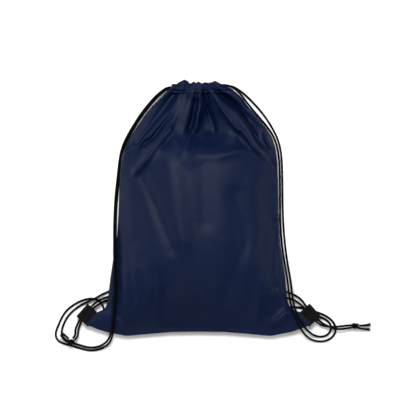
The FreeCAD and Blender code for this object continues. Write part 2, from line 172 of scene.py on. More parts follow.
def joined(name, pieces):
    """One object out of several."""
    with bpy.context.temp_override(active_object=pieces[0], selected_editable_objects=pieces):
        bpy.ops.object.join()
    pieces[0].name = pieces[0].data.name = name
    return pieces[0]


def stands_for(piece, node, body=None):
    """The piece replaces a node of the frame and moves with the body, if one is given."""
    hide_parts(node)
    if body:
        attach(piece, body)

# %% [markdown]
# ## Weave, braid and soil as shared shader groups
# A surface that is seen close by needs the thread in it. Three groups make it. "Plain weave" raises
# warp and weft threads over each other, "Braid" lays crossing bundles round a cord, and "Soil"
# changes the shade a little from place to place, as dye and handling do. Each is built once, and
# each material sets its own sizes on it.

# %% Group tools
class Net:
    """Short way to add nodes to a tree and join them."""

    def __init__(self, tree):
        self.tree = tree

    def node(self, kind, inputs=(), **settings):
        made = self.tree.nodes.new(kind)
        for key, value in settings.items():
            setattr(made, key, value)
        for key, value in dict(inputs).items():
            self.feed(made.inputs[key], value)
        return made

    def feed(self, socket, value):
        if isinstance(value, bpy.types.NodeSocket):
            self.tree.links.new(value, socket)
        else:
            socket.default_value = value

    def math(self, operation, *values):
        made = self.tree.nodes.new("ShaderNodeMath")
        made.operation = operation
        for socket, value in zip(made.inputs, values):
            self.feed(socket, value)
        return made.outputs[0]

    def ramp(self, value, low, high, to_low=0.0, to_high=1.0):
        made = self.node("ShaderNodeMapRange", {0: value, 1: low, 2: high, 3: to_low, 4: to_high})
        return made.outputs[0]


def new_group(name, inputs, outputs):
    """Shader group with number inputs, given with their usual values, and number outputs."""
    tree = bpy.data.node_groups.new(name, "ShaderNodeTree")
    for label, value in inputs:
        socket = tree.interface.new_socket(label, in_out="INPUT", socket_type="NodeSocketFloat")
        socket.default_value = value
    for label in outputs:
        tree.interface.new_socket(label, in_out="OUTPUT", socket_type="NodeSocketFloat")
    net = Net(tree)
    return net, net.node("NodeGroupInput"), net.node("NodeGroupOutput")


# %% Plain weave
net, given, result = new_group("Plain weave", [("Threads per metre", 2200.0)], ["Height", "Shade"])
lay = net.node("ShaderNodeUVMap", uv_map="Lay")
split = net.node("ShaderNodeSeparateXYZ", {0: lay.outputs[0]})
turns = net.math("MULTIPLY", given.outputs[0], math.pi)
warp = net.math("SINE", net.math("MULTIPLY", split.outputs[0], turns))
weft = net.math("SINE", net.math("MULTIPLY", split.outputs[1], turns))
over = net.math("MULTIPLY", warp, weft)
threads = net.math("MAXIMUM", net.math("ABSOLUTE", warp), net.math("ABSOLUTE", weft))
net.feed(result.inputs["Height"], net.math("ADD", net.math("MULTIPLY", over, 0.35), threads))
slub = net.node("ShaderNodeMapping", {"Vector": lay.outputs[0], "Scale": (60.0, 900.0, 1.0)})
streaks = net.node("ShaderNodeTexNoise", {"Vector": slub.outputs[0], "Scale": 1.0, "Detail": 2.0})
net.feed(result.inputs["Shade"], streaks.outputs[0])
WEAVE = net.tree

# %% Braid
net, given, result = new_group("Braid", [("Bundles", 8.0), ("Turns per metre", 240.0)], ["Height", "Gap"])
lay = net.node("ShaderNodeUVMap", uv_map="Lay")
split = net.node("ShaderNodeSeparateXYZ", {0: lay.outputs[0]})
around = net.math("MULTIPLY", net.math("MULTIPLY", split.outputs[0], given.outputs[0]), 2 * math.pi)
along = net.math("MULTIPLY", net.math("MULTIPLY", split.outputs[1], given.outputs[1]), 2 * math.pi)
left = net.math("SINE", net.math("ADD", around, along))
right = net.math("SINE", net.math("SUBTRACT", around, along))
height = net.math("MAXIMUM", left, right)
# A material that colours itself by this height gets painted shade in the gaps between bundles and a painted
# highlight on their crests.
net.feed(result.inputs["Height"], height)
net.feed(result.inputs["Gap"], net.ramp(height, -0.2, 0.5, 1.0, 0.0))
BRAID = net.tree

# %% Soil
net, given, result = new_group("Soil", [("Patches per metre", 14.0)], ["Shade"])
where = net.node("ShaderNodeTexCoord")
broad = net.node("ShaderNodeTexNoise", {"Vector": where.outputs["Object"], "Scale": given.outputs[0],
                                        "Detail": 4.0})
net.feed(result.inputs["Shade"], broad.outputs[0])
SOIL = net.tree

# %% [markdown]
# ## Materials
# The bag cloth is dark navy polyester: fairly smooth threads with a soft, broad shine on the ridges.
# The cords and the webbing are black, and the thread matches what it is sewn into. The cords and threads
# are painted darker in the gaps of their braid and twist and lighter on its crests: painted shade and
# painted highlight. The shader itself stays in each material, and only what changes over the surface
# comes out of the groups.

# %% Fabric materials
SHEEN_ROUGHNESS = 0.4
WEAR = 0.05                 # how much rubbing and soil change the roughness either way


def fabric(name, group, settings, dark, light, roughness, bump, sheen, shade_out, specular=0.5):
    """Material whose colour runs from dark to light and whose bump comes from a thread group."""
    material = bpy.data.materials.new(name)
    material.use_nodes = True
    net = Net(material.node_tree)
    shader = material.node_tree.nodes["Principled BSDF"]
    thread = net.node("ShaderNodeGroup", node_tree=group)
    for key, value in settings.items():
        thread.inputs[key].default_value = value
    soil = net.node("ShaderNodeGroup", node_tree=SOIL)
    # Where shade_out is a thread group's Height, this colour is painted shade in the hollows and a painted
    # highlight on the raised threads.
    blend = net.math("ADD", net.math("MULTIPLY", thread.outputs[shade_out], 0.6),
                     net.math("MULTIPLY", soil.outputs["Shade"], 0.5))
    colour = net.node("ShaderNodeMix", {0: net.ramp(blend, 0.3, 0.8), 6: dark, 7: light}, data_type="RGBA")
    net.feed(shader.inputs["Base Color"], colour.outputs[2])
    worn = net.ramp(soil.outputs["Shade"], 0.3, 0.7, roughness - WEAR, roughness + WEAR)
    net.feed(shader.inputs["Roughness"], worn)
    strength, distance = bump
    relief = net.node("ShaderNodeBump", {"Height": thread.outputs["Height"], "Strength": strength,
                                         "Distance": distance})
    net.feed(shader.inputs["Normal"], relief.outputs[0])
    shader.inputs["Sheen Weight"].default_value = sheen
    shader.inputs["Sheen Roughness"].default_value = SHEEN_ROUGHNESS
    shader.inputs["Specular IOR Level"].default_value = specular
    return material


CLOTH = fabric("Navy polyester", WEAVE, {"Threads per metre": 2200.0}, (0.0012, 0.0046, 0.0215, 1),
               (0.0028, 0.0080, 0.0320, 1), 0.45, (0.35, 0.00012), 0.0, "Shade", 0.085)
# The cord's colour follows the braid's height: painted shade in the gaps between bundles, painted highlight
# on their crests.
CORD = fabric("Black braid", BRAID, {"Bundles": 6.0, "Turns per metre": 210.0}, (0.0006, 0.0006, 0.0008, 1),
              (0.0026, 0.0026, 0.0032, 1), 0.7, (0.8, 0.0004), 0.0, "Height", 0.06)
WEBBING = fabric("Black webbing", WEAVE, {"Threads per metre": 900.0}, (0.001, 0.001, 0.0012, 1),
                 (0.004, 0.004, 0.0046, 1), 0.7, (0.8, 0.0003), 0.0, "Shade", 0.08)
TWIST = {"Bundles": 3.0, "Turns per metre": 900.0}
# The threads' colour follows the twist's height: painted shade in its gaps, painted highlight on its
# crests.
NAVY_THREAD = fabric("Navy thread", BRAID, TWIST, (0.012, 0.017, 0.045, 1), (0.022, 0.03, 0.07, 1), 0.5,
                     (0.6, 0.0001), 0.1, "Height")
BLACK_THREAD = fabric("Black thread", BRAID, TWIST, (0.004, 0.004, 0.005, 1), (0.014, 0.014, 0.016, 1), 0.5,
                      (0.6, 0.0001), 0.1, "Height")
print("materials:", [m.name for m in bpy.data.materials if m.use_nodes][-5:])

# %% Floor
floor_material = bpy.data.materials.new("Pale floor")
floor_material.use_nodes = True
paint = floor_material.node_tree.nodes["Principled BSDF"]
paint.inputs["Base Color"].default_value = (0.93, 0.93, 0.93, 1)
paint.inputs["Roughness"].default_value = 0.9
FLOOR_HALF, FLOOR_Z = 3.0, -0.0003
floor_corners = [(x * FLOOR_HALF, y * FLOOR_HALF, FLOOR_Z) for x, y in ((-1, -1), (1, -1), (1, 1), (-1, 1))]
floor = new_piece("Floor", floor_corners, [(0, 1, 2, 3)], floor_material)

# %% [markdown]
# ## The cords
# A cord is a fixed length of something limp. Its route is a short list of points, and a smooth spline
# through that list is its centre line. The four long strands leave the two ends of the mouth, run
# down the sides, make a loose loop on the floor, turn back under the bag's edge and go through the
# corner tabs. The points lie where the frame's plain tubes lie.

# %% Cord routes, in metres
LEFT_FRONT_RUN = [
    (-0.0445, 0.182, 0.0193), (-0.0555, 0.175, 0.0175), (-0.066, 0.166, 0.0145),
    (-0.0775, 0.153, 0.0105), (-0.0885, 0.139, 0.0072), (-0.0982, 0.1235, 0.0052),
    (-0.107, 0.1085, 0.0044), (-0.1146, 0.0925, 0.0041), (-0.1186, 0.074, 0.0041),
    (-0.1214, 0.048, 0.0041), (-0.1249, 0.016, 0.0041), (-0.1263, -0.018, 0.0072),
    (-0.1262, -0.044, 0.0142), (-0.126, -0.066, 0.0176), (-0.1256, -0.092, 0.0168),
    (-0.1249, -0.118, 0.0164), (-0.1257, -0.142, 0.0166), (-0.1272, -0.161, 0.0172),
    (-0.1292, -0.177, 0.0168), (-0.132, -0.19, 0.0132), (-0.1364, -0.198, 0.009),
    (-0.1436, -0.204, 0.005), (-0.153, -0.2078, 0.0022), (-0.164, -0.2086, 0.0016),
    (-0.177, -0.2052, 0.0016), (-0.1895, -0.2014, 0.0016), (-0.199, -0.1992, 0.0016),
    (-0.205, -0.1928, 0.0016), (-0.2056, -0.1835, 0.0016), (-0.2026, -0.1735, 0.0016),
    (-0.1976, -0.1635, 0.0016), (-0.19, -0.1546, 0.0016), (-0.181, -0.1474, 0.0016),
    (-0.1716, -0.1418, 0.002), (-0.1616, -0.1379, 0.0059), (-0.1532, -0.1336, 0.0059),
    (-0.1445, -0.1284, 0.0034), (-0.1345, -0.124, 0.0016), (-0.121, -0.1184, 0.0016),
    (-0.1065, -0.1136, 0.0016), (-0.094, -0.1176, 0.0016), (-0.0895, -0.128, 0.0016),
    (-0.0965, -0.1366, 0.0016), (-0.1085, -0.137, 0.0016), (-0.1205, -0.1328, 0.0016),
    (-0.132, -0.1312, 0.0024), (-0.1435, -0.1344, 0.0054), (-0.1534, -0.14, 0.0074)]

LEFT_BACK_RUN = [
    (-0.045, 0.1794, 0.0063), (-0.055, 0.1738, 0.0054), (-0.0646, 0.1646, 0.004),
    (-0.075, 0.152, 0.0028), (-0.086, 0.138, 0.0019), (-0.0958, 0.1225, 0.0016),
    (-0.1046, 0.1075, 0.0016), (-0.1122, 0.092, 0.0016), (-0.1162, 0.0735, 0.0016),
    (-0.119, 0.047, 0.0016), (-0.1226, 0.015, 0.0016), (-0.124, -0.018, 0.0046),
    (-0.1239, -0.044, 0.0116), (-0.1237, -0.066, 0.015), (-0.1233, -0.092, 0.0142),
    (-0.1226, -0.118, 0.0138), (-0.1234, -0.142, 0.014), (-0.1248, -0.161, 0.0146),
    (-0.1266, -0.177, 0.0142), (-0.129, -0.1915, 0.0108), (-0.1334, -0.201, 0.0066),
    (-0.1412, -0.208, 0.0032), (-0.1515, -0.212, 0.0017), (-0.1635, -0.213, 0.0016),
    (-0.177, -0.2098, 0.0016), (-0.1905, -0.2056, 0.0016), (-0.203, -0.2026, 0.0016),
    (-0.2126, -0.197, 0.0016), (-0.215, -0.187, 0.0016), (-0.211, -0.1765, 0.0016),
    (-0.206, -0.1645, 0.0016), (-0.1986, -0.153, 0.0016), (-0.1875, -0.144, 0.0016),
    (-0.175, -0.1376, 0.0016), (-0.1625, -0.1344, 0.0016), (-0.1515, -0.1364, 0.0016),
    (-0.144, -0.1436, 0.0016), (-0.1414, -0.1535, 0.0016), (-0.137, -0.1635, 0.0016),
    (-0.1265, -0.1676, 0.0016), (-0.1156, -0.1624, 0.0016), (-0.1106, -0.1515, 0.0016),
    (-0.114, -0.1414, 0.0016), (-0.1228, -0.1364, 0.0016), (-0.133, -0.1362, 0.0026),
    (-0.1428, -0.1396, 0.0056), (-0.1512, -0.1446, 0.0074)]

RIGHT_FRONT_RUN = [
    (0.045, 0.184, 0.0192), (0.055, 0.1785, 0.0176), (0.0646, 0.1682, 0.0148), (0.0744, 0.1554, 0.011),
    (0.085, 0.143, 0.0076), (0.095, 0.1316, 0.005), (0.105, 0.1195, 0.0032), (0.1134, 0.106, 0.002),
    (0.1184, 0.0905, 0.0016), (0.121, 0.07, 0.0016), (0.1219, 0.04, 0.0016), (0.1219, 0.006, 0.0016),
    (0.1226, -0.028, 0.0016), (0.125, -0.058, 0.002), (0.1288, -0.082, 0.0054),
    (0.1324, -0.104, 0.0106), (0.1344, -0.123, 0.0142), (0.1364, -0.139, 0.015),
    (0.1404, -0.153, 0.0152), (0.146, -0.166, 0.0152), (0.1516, -0.1785, 0.0126),
    (0.1582, -0.188, 0.0082), (0.167, -0.1956, 0.004), (0.178, -0.1994, 0.0018),
    (0.191, -0.1988, 0.0016), (0.202, -0.192, 0.0016), (0.2064, -0.1814, 0.0016),
    (0.2026, -0.1704, 0.0016), (0.1928, -0.1618, 0.0016), (0.1795, -0.156, 0.0016),
    (0.165, -0.1514, 0.0016), (0.1495, -0.1476, 0.0016), (0.133, -0.1484, 0.0016),
    (0.1185, -0.1522, 0.0016), (0.107, -0.1484, 0.0016), (0.1034, -0.1386, 0.0016),
    (0.1104, -0.1316, 0.0016), (0.1224, -0.132, 0.0016), (0.1344, -0.1342, 0.0024),
    (0.144, -0.137, 0.005), (0.1518, -0.1426, 0.0074)]

RIGHT_BACK_RUN = [
    (0.046, 0.1846, 0.0062), (0.058, 0.1795, 0.005), (0.071, 0.1696, 0.0036), (0.085, 0.1554, 0.0024),
    (0.0986, 0.1392, 0.0017), (0.11, 0.1218, 0.0016), (0.1184, 0.105, 0.0016), (0.1232, 0.087, 0.0016),
    (0.125, 0.065, 0.0016), (0.1256, 0.034, 0.0016), (0.1258, -0.002, 0.0016),
    (0.1274, -0.034, 0.0016), (0.1304, -0.064, 0.0018), (0.134, -0.088, 0.0046),
    (0.1374, -0.108, 0.0096), (0.1394, -0.126, 0.0134), (0.1414, -0.1415, 0.0146),
    (0.1456, -0.155, 0.0148), (0.1516, -0.167, 0.0148), (0.1584, -0.1776, 0.012),
    (0.1658, -0.1854, 0.0074), (0.1746, -0.1908, 0.0032), (0.1846, -0.1926, 0.0016),
    (0.1942, -0.1892, 0.0016), (0.1992, -0.1804, 0.0016), (0.1964, -0.1706, 0.0016),
    (0.187, -0.164, 0.0016), (0.174, -0.16, 0.0016), (0.1595, -0.157, 0.0016),
    (0.144, -0.1558, 0.0016), (0.129, -0.1584, 0.0016), (0.1135, -0.1616, 0.0016),
    (0.099, -0.1576, 0.0016), (0.0924, -0.1456, 0.0016), (0.094, -0.1316, 0.0016),
    (0.1036, -0.1224, 0.0016), (0.117, -0.1204, 0.0016), (0.13, -0.1242, 0.0018),
    (0.1424, -0.1286, 0.0036), (0.1534, -0.1354, 0.0064)]

LEFT_TAIL_RUNS = [
    [(-0.1814, -0.1732, 0.0082), (-0.1848, -0.1812, 0.0086), (-0.1838, -0.1892, 0.0092)],
    [(-0.1782, -0.1754, 0.008), (-0.1804, -0.1834, 0.0084), (-0.1802, -0.1914, 0.0092)]]
RIGHT_TAIL_RUNS = [
    [(0.1846, -0.1714, 0.0094), (0.1942, -0.1764, 0.0104), (0.2052, -0.1804, 0.0092),
     (0.217, -0.1802, 0.0074)],
    [(0.1812, -0.1738, 0.0066), (0.192, -0.1769, 0.0058), (0.2044, -0.1772, 0.0057),
     (0.2166, -0.1758, 0.0062)]]
LEFT_END_RUNS = [
    [(-0.1985, -0.1907, 0.0096), (-0.2027, -0.1877, 0.0084)],
    [(-0.2015, -0.1937, 0.0092), (-0.2055, -0.1901, 0.0078)]]
RIGHT_END_RUNS = [
    [(0.248, -0.1754, 0.005), (0.256, -0.1738, 0.0034)],
    [(0.2472, -0.1808, 0.0048), (0.2552, -0.181, 0.0032)]]

# %% [markdown]
# ## From a route to a braided tube
# A bevelled curve would do for a smooth wire. A braid needs points that know how far along and how
# far round they are, so the spline's own line is read back and a ring of points is carried along it
# without twisting.

# %% Cord tools
CORD_RADIUS = 0.0016
LANE = 0.00175              # from the middle of a tab's tunnel, or of a knot, to each cord
RING = 12                   # points round a cord
RING_STEP = 0.0011          # from ring to ring


def spline_line(points):
    """Centre line of the smooth spline whose control points these are."""
    data = bpy.data.curves.new("Route", "CURVE")
    data.dimensions = "3D"
    data.resolution_u = 16
    spline = data.splines.new("NURBS")
    spline.points.add(len(points) - 1)
    for control, place in zip(spline.points, points):
        control.co = (*place, 1.0)
    spline.order_u = 3
    spline.use_endpoint_u = True
    holder = bpy.data.objects.new("Route", data)
    bpy.context.collection.objects.link(holder)
    graph = bpy.context.evaluated_depsgraph_get()
    line = bpy.data.meshes.new_from_object(holder.evaluated_get(graph))
    found = np.array([v.co for v in line.vertices])
    bpy.data.objects.remove(holder)
    bpy.data.meshes.remove(line)
    return found


def even(line, step):
    """The same line with its points evenly spaced, and its length."""
    run = np.r_[0.0, np.cumsum(np.linalg.norm(np.diff(line, axis=0), axis=1))]
    marks = np.linspace(0.0, run[-1], max(3, int(round(run[-1] / step)) + 1))
    return np.stack([np.interp(marks, run, line[:, k]) for k in range(3)], axis=1), run[-1]


def frames_along(line):
    """Two directions across the line at every point, carried along without twist."""
    ahead = np.gradient(line, axis=0)
    ahead /= np.linalg.norm(ahead, axis=1)[:, None]
    side = np.cross(ahead[0], (0.0, 0.0, 1.0))
    if np.linalg.norm(side) < 0.1:
        side = np.cross(ahead[0], (0.0, 1.0, 0.0))
    sides = []
    for direction in ahead:
        side = side - direction * (side @ direction)
        side = side / np.linalg.norm(side)
        sides.append(side)
    sides = np.array(sides)
    return sides, np.cross(ahead, sides)


def tube(name, line, radius, material, step=RING_STEP, sides=RING):
    """Closed tube along a line; radius is one number or a function of the share of the way along."""
    centres, length = even(np.asarray(line, float), step)
    across, up = frames_along(centres)
    share = np.linspace(0.0, 1.0, len(centres))
    radii = np.array([radius(s) for s in share]) if callable(radius) else np.full(len(centres), radius)
    turn = np.linspace(0.0, 2 * math.pi, sides, endpoint=False)
    rings = (centres[:, None] + radii[:, None, None] * (np.cos(turn)[None, :, None] * across[:, None]
                                                       + np.sin(turn)[None, :, None] * up[:, None]))
    faces = grid_faces(len(centres), sides, ring=True).tolist()
    last = (len(centres) - 1) * sides
    faces += [list(range(sides))[::-1], list(range(last, last + sides))]
    piece = new_piece(name, rings, faces, material)
    places = np.stack(np.meshgrid(np.abs(2 * turn / (2 * math.pi) - 1), share * length), axis=-1)
    lay_map(piece, places)
    return piece, centres, length


# %% Places that the frame gives
HEM_LOW, HEM_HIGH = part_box("front_hem")
BACK_HEM_LOW, BACK_HEM_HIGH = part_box("back_hem")
HEM_HALF = HEM_HIGH.x
FRONT_HEM_Z = (HEM_LOW.z + HEM_HIGH.z) / 2
BACK_HEM_Z = (BACK_HEM_LOW.z + BACK_HEM_HIGH.z) / 2
LEFT_CORD_Y = sum(c.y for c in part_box("left_cord_in_front_hem")) / 2
RIGHT_CORD_Y = sum(c.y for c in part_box("right_cord_in_front_hem")) / 2
TAB_CENTRE = Vector((0.168, -0.1575, 0.008))
TAB_ALONG = Vector((0.66, -0.7513, 0.0))
TAB_LENGTH = 0.025
LANE_BOW = 0.00025          # the cords bow this much apart in the middle of a tab
KNOTS = {"left": Vector((-0.1914, -0.1995, 0.0102)), "right": Vector((0.2345, -0.1757, 0.0066))}
KNOT_IN = {"left": Vector((0.75, 0.6614, 0)), "right": Vector((-0.995, -0.0999, 0))}
KNOT_OUT = {"left": Vector((-0.75, 0.6614, 0)), "right": Vector((0.97, -0.2431, 0))}
KNOT_FLAT = 0.0054          # from a knot's middle to the place where cords enter it
MEET_GAP = 0.0004           # between a tail's end and its knot
SIDES = {"left": -1, "right": 1}


def in_tab(side, along, away, up=0.0):
    """Point in a tab's own directions: along its tunnel, away from the bag, and up."""
    centre = Vector((side * TAB_CENTRE.x, TAB_CENTRE.y, TAB_CENTRE.z))
    forward = Vector((side * TAB_ALONG.x, TAB_ALONG.y, 0))
    outward = Vector((-side * TAB_ALONG.y, TAB_ALONG.x, 0))
    return centre + forward * along + outward * away + Vector((0, 0, up))


def lane(side, shift):
    """A cord's points through a tab, slightly bowed."""
    bow, half = math.copysign(LANE_BOW, shift), TAB_LENGTH / 2
    return [tuple(in_tab(side, x, shift + away)) for x, away in ((-half, 0), (0, bow), (half, 0))]


def at_knot(centre, direction, gap=0.0):
    """The two points where a pair of cords meets a knot."""
    across = Vector((-direction.y, direction.x, 0))
    return [tuple(centre + direction * (KNOT_FLAT + gap) + across * shift) for shift in (LANE, -LANE)]


# %% The four long strands
def lifts_with_front(piece):
    """Bakes the piece's placement into its mesh."""
    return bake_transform(piece)


STRANDS = [("left", "front", LEFT_CORD_Y, FRONT_HEM_Z, LEFT_FRONT_RUN, LANE),
           ("left", "back", LEFT_CORD_Y, BACK_HEM_Z, LEFT_BACK_RUN, -LANE),
           ("right", "front", RIGHT_CORD_Y, FRONT_HEM_Z, RIGHT_FRONT_RUN, -LANE),
           ("right", "back", RIGHT_CORD_Y, BACK_HEM_Z, RIGHT_BACK_RUN, LANE)]
cord_lines = []
for label, panel, y, z, run, shift in STRANDS:
    name, side = f"{label}_{panel}_strand", SIDES[label]
    route = [(side * HEM_HALF, y, z)] + run + lane(side, shift)
    piece, centres, length = tube(name, spline_line(route), CORD_RADIUS, CORD)
    cord_lines.append(centres)
    stands_for(piece, f"{label}_cord_{panel}_strand")
    if panel == "front":
        lifts_with_front(piece)
    else:
        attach(piece, BAG)
    print(f"{name}: {length:.3f} m")

# %% [markdown]
# ## Turns, tails, knots and cut ends
# At the far end of the mouth each cord turns tightly from the front hem into the back hem. Below the
# tabs the two tails of a cord meet in an overhand knot, and the melted, frayed ends stick out past
# it. The knot slides towards the tab when the bag is cinched, and the tails shorten; here the knot
# and its ends ride on their own body, and the tails stay with the bag.

# %% Turns at the mouth
TURN_NEAR, TURN_FAR, TURN_RISE = 0.0030, 0.0052, 0.0004
KNOT_STEP = 0.0007                      # from ring to ring where a cord is tightly curled
TURN_STEP = 0.0008
drop = (FRONT_HEM_Z - BACK_HEM_Z) / 4
for name, side, y in (("left_cord_turn", 1, LEFT_CORD_Y), ("right_cord_turn", -1, RIGHT_CORD_Y)):
    profile = [(0, FRONT_HEM_Z), (TURN_NEAR, FRONT_HEM_Z + TURN_RISE), (TURN_FAR, FRONT_HEM_Z - drop),
               (TURN_FAR, BACK_HEM_Z + drop), (TURN_NEAR, BACK_HEM_Z - TURN_RISE), (0, BACK_HEM_Z)]
    line = spline_line([(side * (HEM_HALF + x), y, z) for x, z in profile])
    piece = tube(name.replace("cord_", ""), line, CORD_RADIUS, CORD, step=TURN_STEP)[0]
    stands_for(piece, name)
    lifts_with_front(piece)

# %% Cords inside the hems
for panel, body in (("front", FRONT), ("back", BAG)):
    for label in SIDES:
        node = f"{label}_cord_in_{panel}_hem"
        low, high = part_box(node)
        middle = ((low.y + high.y) / 2, (low.z + high.z) / 2)
        line = [(x, *middle) for x in np.linspace(low.x, high.x, 12)]
        stands_for(tube(f"{label}_in_{panel}_hem", line, CORD_RADIUS, CORD)[0], node, body)

# %% Knots
KNOT_CORD = 0.00152         # radius of the cord where the knot squeezes it
COILS = ((0.0, 0.00158), (0.42, 0.00132))       # how far each cord's coil is turned, and its size
COIL_SQUASH = (1.35, 0.92)  # sideways and upwards


def overhand_knot(name, centre, forward):
    """Two cords drawn into an overhand knot: two close three-lobed coils."""
    lobes = np.linspace(0.0, 2 * math.pi, 180)
    forward = np.array(forward) / np.linalg.norm(forward)
    across = np.array((-forward[1], forward[0], 0.0))
    pieces = []
    for tilt, size in COILS:
        reach = (2.0 + np.cos(3 * lobes)) * size
        flat = np.stack([reach * np.cos(2 * lobes + tilt), 1.3 * size * np.sin(3 * lobes),
                         reach * np.sin(2 * lobes + tilt)], axis=1)
        line = (np.array(centre) + flat[:, :1] * forward + flat[:, 1:2] * across * COIL_SQUASH[0]
                + flat[:, 2:] * np.array((0, 0, COIL_SQUASH[1])))
        pieces.append(tube(name, line, KNOT_CORD, CORD, step=KNOT_STEP)[0])
    return joined(name, pieces)


knots = {}
for label in SIDES:
    knots[label] = overhand_knot(f"{label}_overhand_knot", KNOTS[label], KNOT_IN[label] - KNOT_OUT[label])
    stands_for(knots[label], f"{label}_knot", f"{label}_knot_body")

# %% Frayed ends
FRAY_LENGTH, FRAY_COUNT = 0.0042, 34
FIBRE_RADIUS, FIBRE_ROOT, FIBRE_BEND = 0.00022, 0.001, 0.0004
FIBRE_STEP = 0.001
FIBRE_LOWEST = 0.0004       # fibres stay above the floor
END_SWELL = 0.28            # a cut end is this much thicker than the cord
chance = np.random.default_rng(7)


def cut_end(name, line):
    """A short cord end that swells towards its cut, with fine fibres standing out of it."""
    body, centres, _ = tube(name, line, lambda s: CORD_RADIUS * (1.0 + END_SWELL * s ** 3), CORD,
                            step=KNOT_STEP)
    ahead = (centres[-1] - centres[-3]) / np.linalg.norm(centres[-1] - centres[-3])
    across, up = (side[-1] for side in frames_along(centres))
    pieces = [body]
    for k in range(FRAY_COUNT):
        turn, reach = chance.uniform(0, 2 * math.pi), CORD_RADIUS * math.sqrt(chance.uniform(0.05, 1.0))
        out = math.cos(turn) * across + math.sin(turn) * up
        start = centres[-1] - ahead * FIBRE_ROOT + out * reach
        tip = start + ahead * FRAY_LENGTH * chance.uniform(0.6, 1.0)
        tip = tip + out * reach * chance.uniform(0.1, 0.9)
        tip[2] = max(tip[2], FIBRE_LOWEST)
        middle = (start + tip) / 2 + across * chance.uniform(-FIBRE_BEND, FIBRE_BEND)
        fibre = tube(name, [start, middle, tip], lambda s: FIBRE_RADIUS * (1.05 - s), CORD,
                     step=FIBRE_STEP, sides=4)[0]
        pieces.append(fibre)
    return joined(name, pieces)


END_RUNS = {"left": LEFT_END_RUNS, "right": RIGHT_END_RUNS}
ends = {}
for label in SIDES:
    starts = at_knot(KNOTS[label], KNOT_OUT[label])
    starts = starts[::-1] if label == "left" else starts
    lines = [spline_line([start] + run) for start, run in zip(starts, END_RUNS[label])]
    ends[label] = joined(f"{label}_cut_ends", [cut_end(f"{label}_end", line) for line in lines])
    stands_for(ends[label], f"{label}_cord_ends", f"{label}_knot_body")

# %% Tails between the tabs and the knots
TAIL_RUNS = {"left": LEFT_TAIL_RUNS, "right": RIGHT_TAIL_RUNS}
for label, side in SIDES.items():
    stops = at_knot(KNOTS[label], KNOT_IN[label], MEET_GAP)
    for number, (shift, run, stop) in enumerate(zip((LANE, -LANE), TAIL_RUNS[label], stops), start=1):
        route = [lane(side, shift)[-1]] + run + [stop]
        piece, centres, length = tube(f"{label}_tail_{number}", spline_line(route), CORD_RADIUS, CORD)
        stands_for(piece, f"{label}_cord_tails", BAG)
        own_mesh(piece)
        cord_lines.append(centres)

# %% [markdown]
# ## The cut of the two panels
# Both panels are cut alike: nearly a rectangle, with corners that are drawn out to the tabs. Filling
# and gathering pull the flat cloth into the outline that it lies in. The same outline is the edge of
# the front and of the back panel, because they are sewn together there. Each panel is a grid, its
# columns run from hem to bottom, and a blend of the four edges fills the middle.

# %% Outline of the lying bag
MM = 0.001
COLUMNS, ROWS = 72, 84
LEFT_EDGE = [(-49, 172), (-61, 161), (-71, 151), (-82, 137.5), (-92.5, 122), (-102, 107), (-110, 91.5),
             (-115.5, 76), (-118, 40), (-119.5, 0), (-121.5, -40), (-127.5, -75), (-132, -105),
             (-136, -138), (-140, -150.5), (-152, -155), (-169, -173)]
RIGHT_EDGE = [(58, 172), (66, 164), (71.5, 155), (82, 143.5), (92, 131.5), (101.5, 119.5), (110, 106),
              (115, 90.5), (117.5, 70), (118.8, 40), (119.3, 0), (121.5, -50), (126, -80), (129, -100),
              (133, -140), (139, -151), (152, -155), (169, -173)]
BOTTOM_EDGE = [(0, -184), (40, -184.5), (70, -187), (108, -190.5), (138, -184.5), (152, -180), (169, -173)]
MOUTH_Y, BOTTOM_Y = 172.0, -190.0       # the panels end here under the hems, and at the bottom
EDGE_Z = 10.2               # height of the sewn edge
SLIT_TOP_Z = 20.0           # height of the front panel's edge where it meets its hem
SLIT_Y = 150.0              # the side seam ends here, and the panels part below the mouth


def spread(points, count):
    """Points evenly spaced along a line of corners, and the line's length."""
    points = np.array(points, float)
    run = np.r_[0.0, np.cumsum(np.hypot(*np.diff(points, axis=0).T))]
    marks = np.linspace(0.0, run[-1], count)
    return np.stack([np.interp(marks, run, points[:, k]) for k in (0, 1)], axis=1), run[-1]


def at(table, y):
    """Value at y from (y, value) rows."""
    rows = sorted(table)
    return np.interp(y, [row[0] for row in rows], [row[1] for row in rows])


def smooth_at(table, y, reach=24.0):
    """Value at y from the rows, with their corners rounded over the reach, less near both ends."""
    ends = sorted(row[0] for row in table)
    width = np.clip(np.minimum(y - ends[0], ends[-1] - y), 0, reach)
    return np.mean([at(table, y + width * step) for step in np.linspace(-1, 1, 9)], axis=0)


def ease(value, low, high):
    """0 below low, 1 above high, smooth between."""
    share = np.clip((value - low) / (high - low), 0.0, 1.0)
    return share * share * (3.0 - 2.0 * share)


right_edge, EDGE_LENGTH = spread(RIGHT_EDGE[::-1], ROWS + 1)
left_edge, _ = spread(LEFT_EDGE[::-1], ROWS + 1)
half_bottom, _ = spread(BOTTOM_EDGE, COLUMNS // 2 + 1)
bottom = np.r_[half_bottom[::-1] * [-1, 1], half_bottom[1:]]
share = np.linspace(-1, 1, COLUMNS + 1)
top = np.stack([share * np.where(share < 0, -left_edge[-1, 0], right_edge[-1, 0]),
                np.full(COLUMNS + 1, right_edge[-1, 1])], axis=1)
u, v = np.linspace(0, 1, COLUMNS + 1)[None, :, None], np.linspace(0, 1, ROWS + 1)[:, None, None]
corners = (1 - u) * (1 - v) * bottom[0] + u * (1 - v) * bottom[-1] + (1 - u) * v * top[0] + u * v * top[-1]
plan = ((1 - v) * bottom[None] + v * top[None] + (1 - u) * left_edge[:, None] + u * right_edge[:, None]
        - corners)
X, Y = plan[..., 0], plan[..., 1]
ACROSS = share[None, :] * np.ones((ROWS + 1, 1))
GRID = grid_faces(ROWS + 1, COLUMNS + 1)
